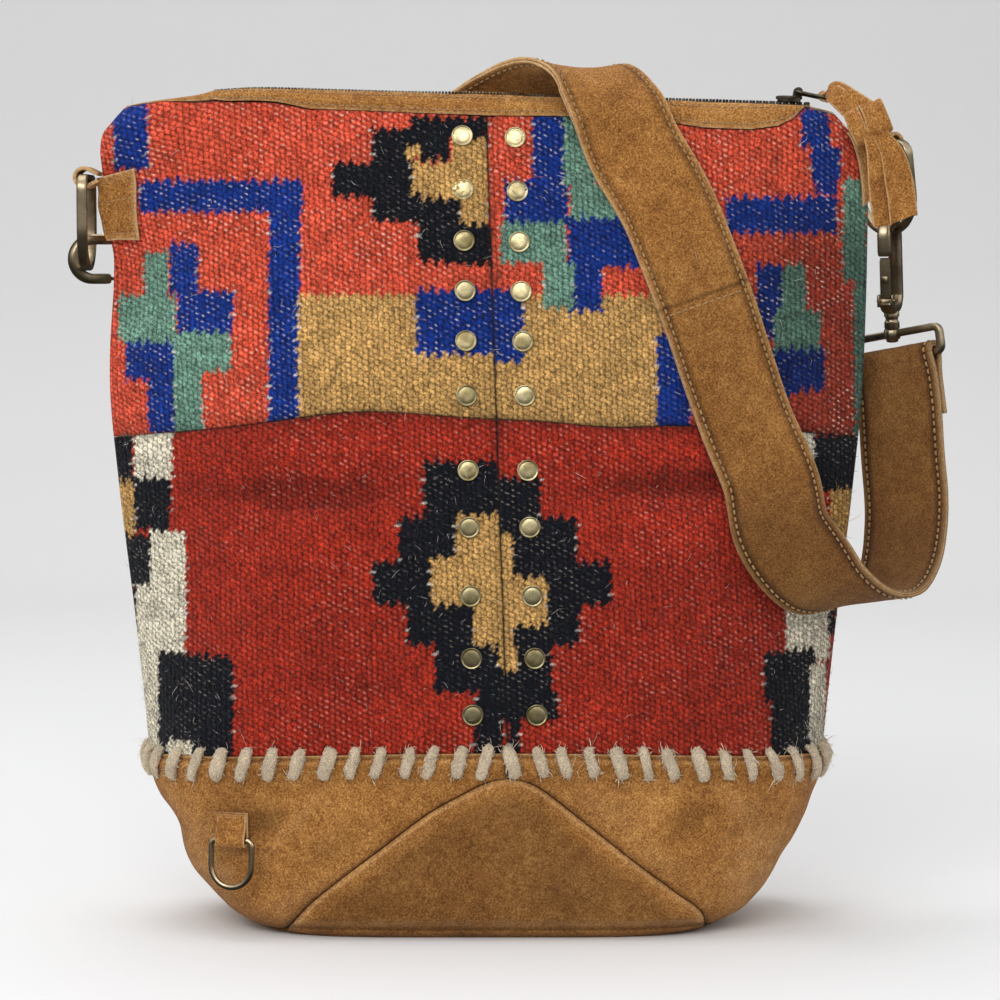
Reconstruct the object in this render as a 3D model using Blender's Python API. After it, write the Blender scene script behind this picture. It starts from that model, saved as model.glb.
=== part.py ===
"""A woven shoulder bag with a boxed suede base, a top zip, studs, ring hardware and a clipped suede strap.

Metres, +Z up, the front faces -Y, the origin is at the middle of the flat bottom.
Every wall panel is a patch of one lofted form, given by the stations below, thickened inwards.
"""
from functools import lru_cache
import math

import bmesh
import bpy
from mathutils import Matrix, Vector
import numpy as np

GAP = 0.0003  # left between pieces that touch
WELD = 0.0000005  # corners nearer than this are one

# The bag's form: height, half width, half depth
STATIONS = (
    (0.000, 0.108, 0.050),
    (0.004, 0.117, 0.055),
    (0.010, 0.127, 0.058),
    (0.020, 0.137, 0.0595),
    (0.038, 0.1465, 0.0600),
    (0.055, 0.155, 0.0590),
    (0.078, 0.1625, 0.0570),
    (0.106, 0.1655, 0.0545),
    (0.145, 0.1695, 0.0510),
    (0.210, 0.177, 0.0425),
    (0.262, 0.1815, 0.0345),
    (0.327, 0.183, 0.0235),
    (0.362, 0.1832, 0.0165),
    (0.376, 0.1815, 0.0135),
    (0.386, 0.178, 0.0114),
    (0.392, 0.172, 0.0096),
    (0.3974, 0.166, 0.0070),
)
RIDGE_Z = STATIONS[-1][0]
RIDGE_SLOPE = -0.0307  # the ridge falls towards +X
RIDGE_LEFT, RIDGE_RIGHT = -0.130, 0.154  # the ridge's straight stretch, as long as the zip
CORNER_FALL = 0.24  # slope of the ridge past that stretch
TILT_FROM, TILT_TO = 0.24, 0.37  # heights between which the ridge's slope sets in
BASE_SQUARE, WAIST_SQUARE, RIDGE_SQUARE = 5.0, 2.5, 16.0  # power of the section's width term
BASE_ROUND, WAIST_ROUND = 0.38, 0.8  # power of the section's depth term
WAIST_FROM, WAIST_TO = 0.06, 0.20  # heights between which the boxed base turns into the waist
RIDGE_FROM = 0.362

KILIM = 0.003
SUEDE = 0.0018
LINING = 0.0008
LINING_PLAY = 0.0024  # between the woven wall and the lining
LINING_TOP = RIDGE_Z - 0.0159  # under the zip tape and the studs' backs

# Seams, as height at the middle and how far they droop at the sides
RIM_Z, RIM_DROOP = 0.0830, 0.008
WAIST_SEAM_Z, WAIST_SEAM_DROOP = 0.2440, 0.010
FACING_LOW_Z, FACING_DROOP = 0.3875, 0.0
CENTRE_SEAM_FOOT_X = 0.0105  # where the centre seam reaches the rim
APEX_Z = 0.076  # of the bottom panel's triangles
APEX_WIDTH = 0.004
LEG_LEFT_X, LEG_RIGHT_X = -0.096, 0.102  # where the triangles' legs reach the floor

# Whipstitch
STITCHES = 62
STITCH_TALL, STITCH_WIDE, STITCH_PROUD = 0.0135, 0.0046, 0.0026
STITCH_LEAN = 0.22  # sideways shift for each unit of height
STITCH_SUNK = 0.0014  # into the suede at its lower end
STITCH_CLEAR = 0.0006  # over the woven edge

# Studs: heights down the two columns, and the columns' top and bottom places
STUD_HEIGHTS = (0.3775, 0.352, 0.328, 0.3045, 0.281, 0.2555, 0.2205, 0.194, 0.162, 0.133, 0.1065)
STUD_COLUMNS = {"left": (-0.0112, -0.0060), "right": (0.0140, 0.0240)}
STUD_RADIUS, STUD_TALL, STUD_SKIRT = 0.0049, 0.0034, 0.0009

# Zip
ZIP_LEFT, ZIP_RIGHT = -0.127, 0.1520  # ends of the toothed chain
TOOTH_PITCH, TOOTH_WIDE, TOOTH_TALL = 0.0070, 0.0056, 0.0016
CHAIN_TALL = 0.0012
CHAIN_SEAT = -0.0004  # the chain's underside, from the facings' edges
TAPE_THICK, TAPE_DROP = 0.0006, 0.0085
TAPE_OFF = 0.0011  # between tape and facing
STOP_LONG, STOP_RISE = 0.003, 0.0004
SLIDER_LONG, SLIDER_WIDE, SLIDER_X = 0.0125, 0.0096, 0.1450
SLIDER_PLATE = 0.0016
EAR_BACK = 0.0020  # from the slider's front end to the bail's pin
BAIL_WIRE = 0.0009
BAIL_LONG, BAIL_WIDE = 0.0145, 0.0088
BAIL_ANGLE = -12.0  # of the rest pose, above the horizontal towards +X
PULL_THICK, PULL_WIDE = 0.0018, 0.0095

# Upper rings: a cast D, its bar in the tab's sleeve
RING_WIDE, RING_TALL, RING_CORNER = 0.040, 0.046, 0.006
RING_THIN, RING_THICK = 0.0016, 0.00265  # half sizes in the ring's plane and across it
SLEEVE_PLAY = 0.0005
SLEEVE_WIDE = 0.022
TAB_SUEDE = 0.0018
PATCH_DEEP, PATCH_TALL, PATCH_RISE = 0.017, 0.030, 0.0022
RIGHT_PATCH_FRONT = 0.0035  # the right patch's short front wing
PATCH_OFF = 0.0013  # off the woven wall
LEFT_BAR = (-0.1915, 0.0, 0.3585)
RIGHT_BAR = (0.1898, 0.0054, 0.3751)
RIGHT_RING_TURN = 125.0
RIGHT_RING_SWING = 8.0

# Lower rings
SMALL_RING_WIDE, SMALL_RING_TALL, SMALL_RING_CORNER = 0.023, 0.025, 0.003
SMALL_RING_WIRE = 0.00135
SMALL_TAB_WIDE = 0.0145
CORNER_TAB_OFF = 0.0006  # between the tab's middle and the curved wall behind it

# Swivel hooks, along their own axis from the swivel's shoulder
HOOK_REACH, HOOK_HALF = 0.036, 0.0095  # to the eye's round end, and half its width
HOOK_WIRE_IN, HOOK_WIRE_ACROSS = 0.0025, 0.0033
GATE_LONG, GATE_WIDE, GATE_THICK = 0.0195, 0.0050, 0.0022
COLLAR_RADIUS, COLLAR_LONG = 0.0037, 0.0085
POST_RADIUS = 0.0018
POST_PLAY = 0.0004
HEAD_RADIUS, HEAD_TALL = 0.0030, 0.0014

# Rectangular strap loops
LOOP_WIDE, LOOP_TALL, LOOP_CORNER, LOOP_WIRE = 0.0570, 0.0155, 0.0030, 0.0018
BOSS_RADIUS, BOSS_TALL = 0.0040, 0.0046

# Strap
STRAP_WIDE, STRAP_THICK = 0.0460, 0.0032
STRAP_EDGE = 0.0004  # depth of the line between its two layers
FOLD_PLAY = 0.0005
FOLD_BACK = 0.030
STRAP_OFF = 0.0008  # between the strap and the wall it lies on

MATERIALS = {
    "kilim": ((0.52, 0.07, 0.04), 0.95, 0.0),
    "suede": ((0.36, 0.18, 0.07), 0.9, 0.0),
    "yarn": ((0.55, 0.42, 0.29), 0.95, 0.0),
    "lining": ((0.45, 0.36, 0.25), 0.9, 0.0),
    "zip_tape": ((0.16, 0.10, 0.06), 0.85, 0.0),
    "zip_metal": ((0.13, 0.11, 0.09), 0.4, 1.0),
    "brass": ((0.26, 0.19, 0.10), 0.38, 1.0),
    "hardware": ((0.22, 0.18, 0.13), 0.35, 1.0),
}


def clear_scene():
    for item in list(bpy.data.objects):
        bpy.data.objects.remove(item, do_unlink=True)


@lru_cache(maxsize=None)
def material(name):
    colour, roughness, metallic = MATERIALS[name]
    made = bpy.data.materials.new(name)
    made.use_nodes = True
    shader = made.node_tree.nodes["Principled BSDF"]
    shader.inputs["Base Color"].default_value = (*colour, 1.0)
    shader.inputs["Roughness"].default_value = roughness
    shader.inputs["Metallic"].default_value = metallic
    return made


def put(name, verts, faces, finish, origin=(0, 0, 0), parent=None):
    """Makes a closed mesh object, its origin where the piece turns or stands."""
    mesh = bpy.data.meshes.new(name)
    mesh.from_pydata([tuple(Vector(v) - Vector(origin)) for v in verts], [], faces)
    tidy = bmesh.new()
    tidy.from_mesh(mesh)
    bmesh.ops.recalc_face_normals(tidy, faces=tidy.faces)
    tidy.to_mesh(mesh)
    tidy.free()
    mesh.materials.append(material(finish))
    piece = bpy.data.objects.new(name, mesh)
    bpy.context.collection.objects.link(piece)
    piece.location = origin
    if parent is not None:
        piece.parent = parent
        piece.matrix_parent_inverse = Matrix.Translation(parent.matrix_world.translation).inverted()
    bpy.context.view_layer.update()
    return piece


def round_shading(piece, angle=40.0):
    piece.data.shade_smooth()
    piece.data.set_sharp_from_angle(angle=math.radians(angle))


def unite(piece, others, operation="UNION"):
    """Applies a Boolean of each other object to the piece and removes the other object."""
    for other in others:
        change = piece.modifiers.new("joined", "BOOLEAN")
        change.operation = operation
        change.solver = "EXACT"
        change.object = other
        graph = bpy.context.evaluated_depsgraph_get()
        result = bpy.data.meshes.new_from_object(piece.evaluated_get(graph))
        piece.modifiers.clear()
        piece.data = result
        bpy.data.objects.remove(other, do_unlink=True)
    tidy = bmesh.new()
    tidy.from_mesh(piece.data)
    bmesh.ops.remove_doubles(tidy, verts=tidy.verts, dist=WELD)
    bmesh.ops.dissolve_degenerate(tidy, edges=tidy.edges, dist=WELD)
    tidy.to_mesh(piece.data)
    tidy.free()
    return piece


def smooth(value, low, high):
    t = min(max((value - low) / (high - low), 0.0), 1.0)
    return t * t * (3 - 2 * t)


def mix(low, high, t):
    return low + (high - low) * t


# The lofted form

def eased(heights, values, z):
    """A cubic through the stations, with slopes that don't overshoot."""
    i = int(np.clip(np.searchsorted(heights, z) - 1, 0, len(heights) - 2))
    steps = np.diff(values) / np.diff(heights)

    def slope(k):
        if k == 0:
            return steps[0]
        if k == len(heights) - 1:
            return steps[-1]
        a, b = steps[k - 1], steps[k]
        return 0.0 if a * b <= 0 else 2 * a * b / (a + b)

    span = heights[i + 1] - heights[i]
    t = (z - heights[i]) / span
    rise = values[i + 1] - values[i]
    m0, m1 = slope(i) * span, slope(i + 1) * span
    return values[i] + m0 * t + (3 * rise - 2 * m0 - m1) * t**2 + (m0 + m1 - 2 * rise) * t**3


HEIGHTS = np.array([s[0] for s in STATIONS])
WIDTHS = np.array([s[1] for s in STATIONS])
DEPTHS = np.array([s[2] for s in STATIONS])


@lru_cache(maxsize=None)
def form(z):
    """Half width, half depth and the two powers of the section at a height."""
    waist = smooth(z, WAIST_FROM, WAIST_TO)
    ridge = smooth(z, RIDGE_FROM, RIDGE_Z)
    square = mix(mix(BASE_SQUARE, WAIST_SQUARE, waist), RIDGE_SQUARE, ridge)
    return eased(HEIGHTS, WIDTHS, z), eased(HEIGHTS, DEPTHS, z), square, mix(BASE_ROUND, WAIST_ROUND, waist)


def depth_at(x, z, inset=0.0):
    """How far the wall is from the middle plane, at a place across and a height."""
    a, b, square, power = form(z)
    ratio = min(abs(x) / (a - inset), 1.0)
    return (b - inset) * (1 - ratio**square) ** power


@lru_cache(maxsize=None)
def half_section(z, inset):
    """Places across, distances from the middle plane and length fractions of half a section."""
    a, b, square, power = form(z)
    across = (a - inset) * np.sin(np.linspace(-math.pi / 2, math.pi / 2, 161))
    away = (b - inset) * (1 - np.minimum(np.abs(across) / (a - inset), 1.0) ** square) ** power
    lengths = np.concatenate([[0], np.cumsum(np.hypot(np.diff(across), np.diff(away)))])
    return across, away, lengths / lengths[-1]


def fraction_at(x, z, inset=0.0):
    across, _, part = half_section(round(z, 7), inset)
    return float(np.interp(x, across, part))


def ridge_line(x):
    """How far the ridge stands above its middle at a place across."""
    straight = RIDGE_SLOPE * min(max(x, RIDGE_LEFT), RIDGE_RIGHT)
    return straight - CORNER_FALL * max(RIDGE_LEFT - x, x - RIDGE_RIGHT, 0.0)


def tilted(x, y, z):
    """The final place: the upper bag leans with its ridge."""
    return (x, y, z + ridge_line(x) * smooth(z, TILT_FROM, TILT_TO))


def level_under(x, z):
    """The form's height whose final place across x stands at a height z."""
    level = z
    for _ in range(8):
        level = z - ridge_line(x) * smooth(level, TILT_FROM, TILT_TO)
    return level


def wall(part, z, side, inset=0.0):
    """A place on the wall: part runs 0 to 1 from the left side seam to the right, side is -1 in front."""
    across, away, parts = half_section(round(z, 7), inset)
    x = float(np.interp(part, parts, across))
    y = float(np.interp(part, parts, away))
    return tilted(x, side * y, z)


def wall_facing(x, z, side):
    """A place on the wall and its outward normal, by a place across and a height."""
    step = 0.001
    here = Vector(tilted(x, side * depth_at(x, z), z))
    along = Vector(tilted(x + step, side * depth_at(x + step, z), z)) - here
    up = Vector(tilted(x, side * depth_at(x, z + step), z + step)) - here
    normal = along.cross(up).normalized()
    return here, normal if normal.y * side > 0 else -normal


def wall_frame(part, z, side):
    """A place on the wall with its direction along the ring, left to right, and its outward direction."""
    reach = 0.012
    base = Vector(wall(part, z, side))
    if part < reach:
        ahead, behind = Vector(wall(reach, z, side)), Vector(wall(reach, z, -side))
    elif part > 1 - reach:
        ahead, behind = Vector(wall(1 - reach, z, -side)), Vector(wall(1 - reach, z, side))
    else:
        ahead, behind = Vector(wall(part + reach, z, side)), Vector(wall(part - reach, z, side))
    along = (ahead - behind).normalized()
    out = Vector((along.y, -along.x, 0)).normalized()
    if side > 0:
        out = -out
    return base, along, out


def drooping(middle, droop):
    return lambda part: middle - droop * (2 * part - 1) ** 2


RIM = drooping(RIM_Z, RIM_DROOP)
WAIST_SEAM = drooping(WAIST_SEAM_Z, WAIST_SEAM_DROOP)
FACING_LOW = drooping(FACING_LOW_Z, FACING_DROOP)


def centre_seam(z):
    return CENTRE_SEAM_FOOT_X * (1 - (z - RIM_Z) / (RIDGE_Z - RIM_Z))


# Panels

def grid_faces(rows, columns, offset, flip):
    faces = []
    for r in range(rows - 1):
        for c in range(columns - 1):
            a = offset + r * columns + c
            quad = (a, a + 1, a + columns + 1, a + columns)
            faces.append(quad[::-1] if flip else quad)
    return faces


def thick_patch(name, outer, inner, finish):
    """Closes an outer and an inner grid of points into one shell."""
    rows, columns = len(outer), len(outer[0])
    verts = [p for row in outer for p in row] + [p for row in inner for p in row]
    half = rows * columns
    faces = grid_faces(rows, columns, 0, False) + grid_faces(rows, columns, half, True)
    rim = [(0, c) for c in range(columns)]
    rim += [(r, columns - 1) for r in range(1, rows)]
    rim += [(rows - 1, c) for c in range(columns - 2, -1, -1)]
    rim += [(r, 0) for r in range(rows - 2, 0, -1)]
    edge = [r * columns + c for r, c in rim]
    for a, b in zip(edge, edge[1:] + edge[:1]):
        faces.append((b, a, a + half, b + half))
    return put(name, verts, faces, finish)


def even(t):
    return t


def crowded_ends(t):
    return crowded_start(2 * t) / 2 if t < 0.5 else 1 - crowded_start(2 - 2 * t) / 2


def crowded_top(t):
    return t**0.8


def crowded_start(t):
    return t**1.4


def crowded_finish(t):
    return 1 - (1 - t) ** 1.4


def wall_panel(name, side, low, high, left, right, rows, columns, thick, finish, rise=even, spread=even):
    """A patch of the front or back wall between two heights and two edges.

    low and high give a height for a place along the panel. left and right give a place across for a
    height, or None at a side seam. rise and spread space the rows and the columns.
    """
    def grid(inset):
        points = []
        for r in range(rows + 1):
            row = []
            for c in range(columns + 1):
                guess = (0.0 if left is None else 0.5) + c / columns * (1 if left is right else 0.5)
                z = mix(low(guess) + GAP / 2, high(guess) - GAP / 2, rise(r / rows))
                start = 0.0 if left is None else fraction_at(left(z) + GAP / 2, z, inset)
                end = 1.0 if right is None else fraction_at(right(z) - GAP / 2, z, inset)
                x, y, z = wall(mix(start, end, spread(c / columns)), z, side, inset)
                row.append((x, y + side * GAP / 2, z))
            points.append(row)
        return points

    return thick_patch(name, grid(0.0), grid(thick), finish)


def kilim_panels():
    for view, side in (("front", -1), ("back", 1)):
        halves = (("left", None, centre_seam, crowded_start), ("right", centre_seam, None, crowded_finish))
        for hand, left, right, spread in halves:
            wall_panel(f"{view}_upper_{hand}_panel", side, WAIST_SEAM, FACING_LOW, left, right, 7, 9,
                       KILIM, "kilim", crowded_top, spread)
            wall_panel(f"{view}_lower_{hand}_panel", side, RIM, WAIST_SEAM, left, right, 5, 9,
                       KILIM, "kilim", even, spread)
        piece = wall_panel(f"{view}_facing", side, FACING_LOW, lambda part: RIDGE_Z, None, None, 2, 18,
                           SUEDE, "suede", even, crowded_ends)
        round_shading(piece)


def lining():
    """A thin cotton bag inside, open at the top."""
    heights = [0.0, 0.014, 0.035, 0.07, 0.12, 0.18, 0.27, 0.35, LINING_TOP]
    columns = 10
    skins = []
    for inset in (KILIM + LINING_PLAY, KILIM + LINING_PLAY + LINING):
        rings = []
        for z in heights:
            level = max(z, inset)
            front = [wall(crowded_ends(c / columns), level, -1, inset) for c in range(columns + 1)]
            back = [wall(crowded_ends(c / columns), level, 1, inset) for c in range(columns - 1, 0, -1)]
            rings.append(front + back)
        skins.append(rings)
    around = 2 * columns
    verts = [p for rings in skins for ring in rings for p in ring]
    block = len(heights) * around
    faces = []
    for skin in (0, 1):
        for r in range(len(heights) - 1):
            for c in range(around):
                n = (c + 1) % around
                a = skin * block + r * around
                faces.append((a + c, a + n, a + around + n, a + around + c))
        floor = skin * block
        for c in range(columns):
            far, further = (around - c) % around, around - c - 1
            corners = (floor + c, floor + c + 1, floor + further, floor + far)
            faces.append(tuple(dict.fromkeys(corners)))
    top = (len(heights) - 1) * around
    for c in range(around):
        n = (c + 1) % around
        faces.append((top + c, top + n, block + top + n, block + top + c))
    round_shading(put("lining", verts, faces, "lining"))


# Suede base

def leg(z, foot):
    """Where a leg of the bottom panel's triangle stands at a height."""
    half = math.copysign(APEX_WIDTH / 2, foot)
    if z >= APEX_Z:
        return CENTRE_SEAM_FOOT_X + half * max(0.0, 1 - (z - APEX_Z) / (RIM_Z - APEX_Z))
    return mix(foot, CENTRE_SEAM_FOOT_X + half, z / APEX_Z)


BASE_LOW_Z = SUEDE + GAP  # the side panels stand on the bottom panel's margin
BASE_RISE = (0.0, 0.1, 0.22, 0.42, 0.66, (APEX_Z - BASE_LOW_Z) / (RIM_Z - BASE_LOW_Z), 1.0)


def base_side(name, foot):
    """A side panel that wraps from the front triangle round to the back one, with its whipstitches."""
    hand = math.copysign(1, foot)
    steps = 10
    seam = 0.0 if hand < 0 else 1.0

    def grid(inset):
        points = []
        for up in BASE_RISE:
            row = []
            for c in range(-steps, steps + 1):
                reach = crowded_start(abs(c) / steps)
                z = mix(BASE_LOW_Z, RIM(mix(seam, 0.5, reach)) - GAP / 2, up)
                end = fraction_at(leg(z, foot) + hand * GAP, z, inset)
                row.append(wall(mix(seam, end, reach), z, -1 if c <= 0 else 1, inset))
            points.append(row)
        return points

    panel = thick_patch(name, grid(0.0), grid(SUEDE), "suede")
    round_shading(panel)
    panel.data.materials.append(material("yarn"))
    stitches = whipstitches(hand)
    return unite(panel, [stitches])


def bottom_panel():
    """The floor with its two triangular ends folded up on the front and back."""
    across = 8
    flap = (0.0, 0.06, 0.16, 0.36, 0.66, 1.0)

    def flap_row(side, up, inset):
        z = max(up * APEX_Z, inset)
        left, right = leg(z, LEG_LEFT_X) + GAP / 2, leg(z, LEG_RIGHT_X) - GAP / 2
        places = [mix(left, right, c / across) for c in range(across + 1)]
        return [(x, side * depth_at(x, z, inset), z) for x in places]

    def margin_x(y, z):
        """How far the floor's edge is from the middle at a depth."""
        a, b, square, power = form(z)
        return a * (1 - (abs(y) / b) ** (1 / power)) ** (1 / square)

    def floor_row(w, inset):
        left_y, right_y = w * depth_at(LEG_LEFT_X, inset, inset), w * depth_at(LEG_RIGHT_X, inset, inset)
        left, right = -margin_x(left_y, inset), margin_x(right_y, inset)
        row = []
        for c in range(across + 1):
            fold = mix(LEG_LEFT_X, LEG_RIGHT_X, c / across)
            row.append((mix(left, right, c / across), w * depth_at(fold, inset, inset), inset))
        return row

    def grid(inset):
        rows = [flap_row(-1, up, inset) for up in reversed(flap)]
        rows += [floor_row(w, inset) for w in (-0.7, 0.0, 0.7)]
        rows += [flap_row(1, up, inset) for up in flap]
        return rows

    round_shading(thick_patch("base_bottom_panel", grid(0.0), grid(SUEDE), "suede"), 60)


def ring_place(turn):
    """A place along the rim, turn 0 to 2 round the bag from the left side by the front, and its side."""
    turn %= 2
    return (turn, -1) if turn <= 1 else (2 - turn, 1)


def whipstitches(hand):
    """Slanting yarn stitches over the rim, on the half of the bag that the hand names."""
    verts, faces = [], []
    stations = ((-1.0, 0.6, 0.0), (-0.45, 1.0, 0.0), (-0.06, 1.05, 1.0), (1.0, 0.7, 1.0))
    outline = ((-0.5, 0.0), (0.5, 0.0), (0.3, 1.0), (-0.3, 1.0))
    sides = len(outline)
    for k in range(STITCHES):
        part, side = ring_place((k + 0.5) * 2 / STITCHES)
        if (wall(part, RIM(part), side)[0] - CENTRE_SEAM_FOOT_X) * hand <= 0:
            continue
        start = len(verts)
        lean = STITCH_LEAN if side * (0.5 - part) < 0 else -STITCH_LEAN
        for t, swell, clear in stations:
            z = RIM(part) + t * STITCH_TALL / 2
            base, along, out = wall_frame(part, z, side)
            base += along * lean * (z - RIM(part))
            sunk = mix(-STITCH_SUNK, STITCH_CLEAR, clear)
            for u, v in outline:
                verts.append(tuple(base + along * u * STITCH_WIDE * swell + out * (v * STITCH_PROUD * swell + sunk)))
        for i in range(len(stations) - 1):
            for s in range(sides):
                n = (s + 1) % sides
                a = start + i * sides
                faces.append((a + s, a + n, a + sides + n, a + sides + s))
        faces.append(tuple(start + s for s in range(sides))[::-1])
        faces.append(tuple(start + (len(stations) - 1) * sides + s for s in range(sides)))
    return put("stitches", verts, faces, "yarn")


# Sweeps

def swept(points, frames, outline, closed):
    """Sweeps an outline of (across, out) pairs along points with (across, out) direction frames."""
    verts, faces = [], []
    n = len(outline)
    for point, (across, out) in zip(points, frames):
        for u, v in outline:
            verts.append(tuple(Vector(point) + Vector(across) * u + Vector(out) * v))
    count = len(points)
    for i in range(count if closed else count - 1):
        a, b = i * n, (i + 1) % count * n
        for s in range(n):
            e = (s + 1) % n
            faces.append((a + s, a + e, b + e, b + s))
    if not closed:
        faces.append(tuple(range(n))[::-1])
        faces.append(tuple((count - 1) * n + s for s in range(n)))
    return verts, faces


def oval(half_across, half_out, sides):
    steps = [2 * math.pi * (s + 0.5) / sides for s in range(sides)]
    return [(half_across * math.cos(a), half_out * math.sin(a)) for a in steps]


def flat_sweep(path, origin, along, across, outline, closed):
    """Sweeps an outline along a path drawn in the plane of two directions.

    The outline's first number lies in that plane and its second across it.
    """
    normal = Vector(along).cross(Vector(across)).normalized()
    points = [Vector(origin) + Vector(along) * a + Vector(across) * b for a, b in path]
    count = len(points)
    frames = []
    for i in range(count):
        before = points[i - 1] if closed or i else points[i]
        after = points[(i + 1) % count] if closed or i < count - 1 else points[i]
        heading = (after - before).normalized()
        frames.append((normal.cross(heading).normalized(), normal))
    return swept(points, frames, outline, closed)


def arc(centre, radius, start, end, steps):
    """Points of an arc, in degrees, both ends included."""
    angles = [math.radians(mix(start, end, i / steps)) for i in range(steps + 1)]
    return [(centre[0] + radius * math.cos(a), centre[1] + radius * math.sin(a)) for a in angles]


def box_points(half):
    return [(x, y, z) for x in (-half[0], half[0]) for y in (-half[1], half[1]) for z in (-half[2], half[2])]


BOX_FACES = [(0, 1, 3, 2), (4, 6, 7, 5), (0, 4, 5, 1), (2, 3, 7, 6), (0, 2, 6, 4), (1, 5, 7, 3)]


def block(name, centre, axes, half, finish):
    verts = [tuple(Vector(centre) + sum((Vector(axis) * v for axis, v in zip(axes, corner)), Vector()))
             for corner in box_points(half)]
    return put(name, verts, BOX_FACES, finish)


def turned(name, centre, axis, profile, sides, finish):
    """Spins a profile of (distance along the axis, radius) pairs, closed by flat ends."""
    axis = Vector(axis).normalized()
    first = axis.orthogonal().normalized()
    second = axis.cross(first)
    verts, faces = [], []
    for along, radius in profile:
        for s in range(sides):
            a = 2 * math.pi * s / sides
            reach = first * math.cos(a) * radius + second * math.sin(a) * radius
            verts.append(tuple(Vector(centre) + axis * along + reach))
    for i in range(len(profile) - 1):
        for s in range(sides):
            n = (s + 1) % sides
            a = i * sides
            faces.append((a + s, a + n, a + sides + n, a + sides + s))
    faces.append(tuple(range(sides))[::-1])
    faces.append(tuple((len(profile) - 1) * sides + s for s in range(sides)))
    return put(name, verts, faces, finish)


# Studs

def studs():
    for hand, (top_x, foot_x) in STUD_COLUMNS.items():
        for k, z in enumerate(STUD_HEIGHTS):
            x = mix(top_x, foot_x, (STUD_HEIGHTS[0] - z) / (STUD_HEIGHTS[0] - STUD_HEIGHTS[-1]))
            place, normal = wall_facing(x, z, -1)
            dome = [(GAP, STUD_RADIUS), (GAP + STUD_SKIRT, STUD_RADIUS)]
            bend = math.radians(42)
            rise = STUD_SKIRT + (STUD_TALL - STUD_SKIRT) * math.sin(bend)
            dome.append((GAP + rise, STUD_RADIUS * math.cos(bend)))
            dome.append((GAP + STUD_TALL, STUD_RADIUS * 0.25))
            piece = turned(f"stud_{hand}_{k + 1:02d}", place, normal, dome, 8, "brass")
            round_shading(piece, 60)


# Zip

def on_ridge(x, y, rise):
    """A place over the straight ridge line."""
    return (x, y, RIDGE_Z + RIDGE_SLOPE * x + rise)


def zip_parts():
    seat = CHAIN_SEAT
    crown = seat + CHAIN_TALL + TOOTH_TALL
    stop = crown + STOP_RISE
    profile = [(ZIP_LEFT - STOP_LONG, seat), (ZIP_LEFT - STOP_LONG, stop), (ZIP_LEFT - GAP, stop)]
    for k in range(int((ZIP_RIGHT - ZIP_LEFT) / TOOTH_PITCH)):
        x = ZIP_LEFT + k * TOOTH_PITCH
        for share, rise in ((0.0, crown - TOOTH_TALL), (0.12, crown), (0.58, crown), (0.7, crown - TOOTH_TALL)):
            profile.append((x + TOOTH_PITCH * share, rise))
    profile += [(ZIP_RIGHT + GAP, stop), (ZIP_RIGHT + STOP_LONG, stop), (ZIP_RIGHT + STOP_LONG, seat)]
    verts = []
    for y in (-TOOTH_WIDE / 2, TOOTH_WIDE / 2):
        verts += [on_ridge(x, y, rise) for x, rise in profile]
    n = len(profile)
    faces = [tuple(range(n)), tuple(range(n, 2 * n))[::-1]]
    faces += [(a, (a + 1) % n, (a + 1) % n + n, a + n) for a in range(n)]
    put("zip_chain", verts, faces, "zip_metal")
    for view, side in (("front", -1), ("back", 1)):
        zip_tape(view, side)


def zip_tape(view, side):
    """A woven tape under a facing, turned in at its top to meet the teeth."""
    inset = SUEDE + TAPE_OFF
    middle, reach = (ZIP_LEFT + ZIP_RIGHT) / 2, (ZIP_RIGHT - ZIP_LEFT) / 2 + STOP_LONG
    lip = TOOTH_WIDE / 2 + GAP
    rows = ((RIDGE_Z - TAPE_DROP, None), (RIDGE_Z - 0.0030, None), (RIDGE_Z - 0.0008, lip))
    columns = 12

    def grid(extra):
        points = []
        for z, fixed in rows:
            row = []
            for c in range(columns + 1):
                x = middle - reach * math.cos(math.pi * c / columns)
                away = depth_at(x, z, inset) - extra
                if fixed is not None:
                    away = fixed
                    z = RIDGE_Z - 0.0008 - extra
                row.append(tilted(x, side * max(away, lip - extra * 0.5), z))
            points.append(row)
        return points

    thick_patch(f"{view}_zip_tape", grid(0.0), grid(TAPE_THICK), "zip_tape")


def slider():
    """The slider straddles the chain's teeth and carries the bail on a small bridge."""
    axes = (Vector((1, 0, RIDGE_SLOPE)).normalized(), Vector((0, 1, 0)), Vector((-RIDGE_SLOPE, 0, 1)).normalized())
    teeth_top = CHAIN_SEAT + CHAIN_TALL + TOOTH_TALL
    low = teeth_top + GAP + 0.0001
    centre = Vector(on_ridge(SLIDER_X, 0, low + SLIDER_PLATE / 2))
    body = block("zip_slider", centre, axes, (SLIDER_LONG / 2, SLIDER_WIDE / 2, SLIDER_PLATE / 2), "zip_metal")
    for side in (-1, 1):
        skirt_half = (SLIDER_LONG / 2 - 0.0008, 0.0006, 0.0009)
        place = centre + axes[1] * side * (TOOTH_WIDE / 2 + 0.0004 + 0.0006) - axes[2] * 0.0012
        unite(body, [block("skirt", place, axes, skirt_half, "zip_metal")])
        ear = centre + axes[0] * (SLIDER_LONG / 2 - EAR_BACK) + axes[1] * side * 0.0022
        ear += axes[2] * (SLIDER_PLATE / 2 + 0.0014)
        unite(body, [block("ear", ear, axes, (0.0019, 0.0008, 0.0018), "zip_metal")])
    pin = centre + axes[0] * (SLIDER_LONG / 2 - EAR_BACK) + axes[2] * (SLIDER_PLATE / 2 + 0.0018)
    bore = turned("bore", pin - Vector((0, 0.006, 0)), (0, 1, 0), [(0, 0.00125), (0.012, 0.00125)], 10, "zip_metal")
    unite(body, [bore], "DIFFERENCE")
    return body, pin


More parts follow.
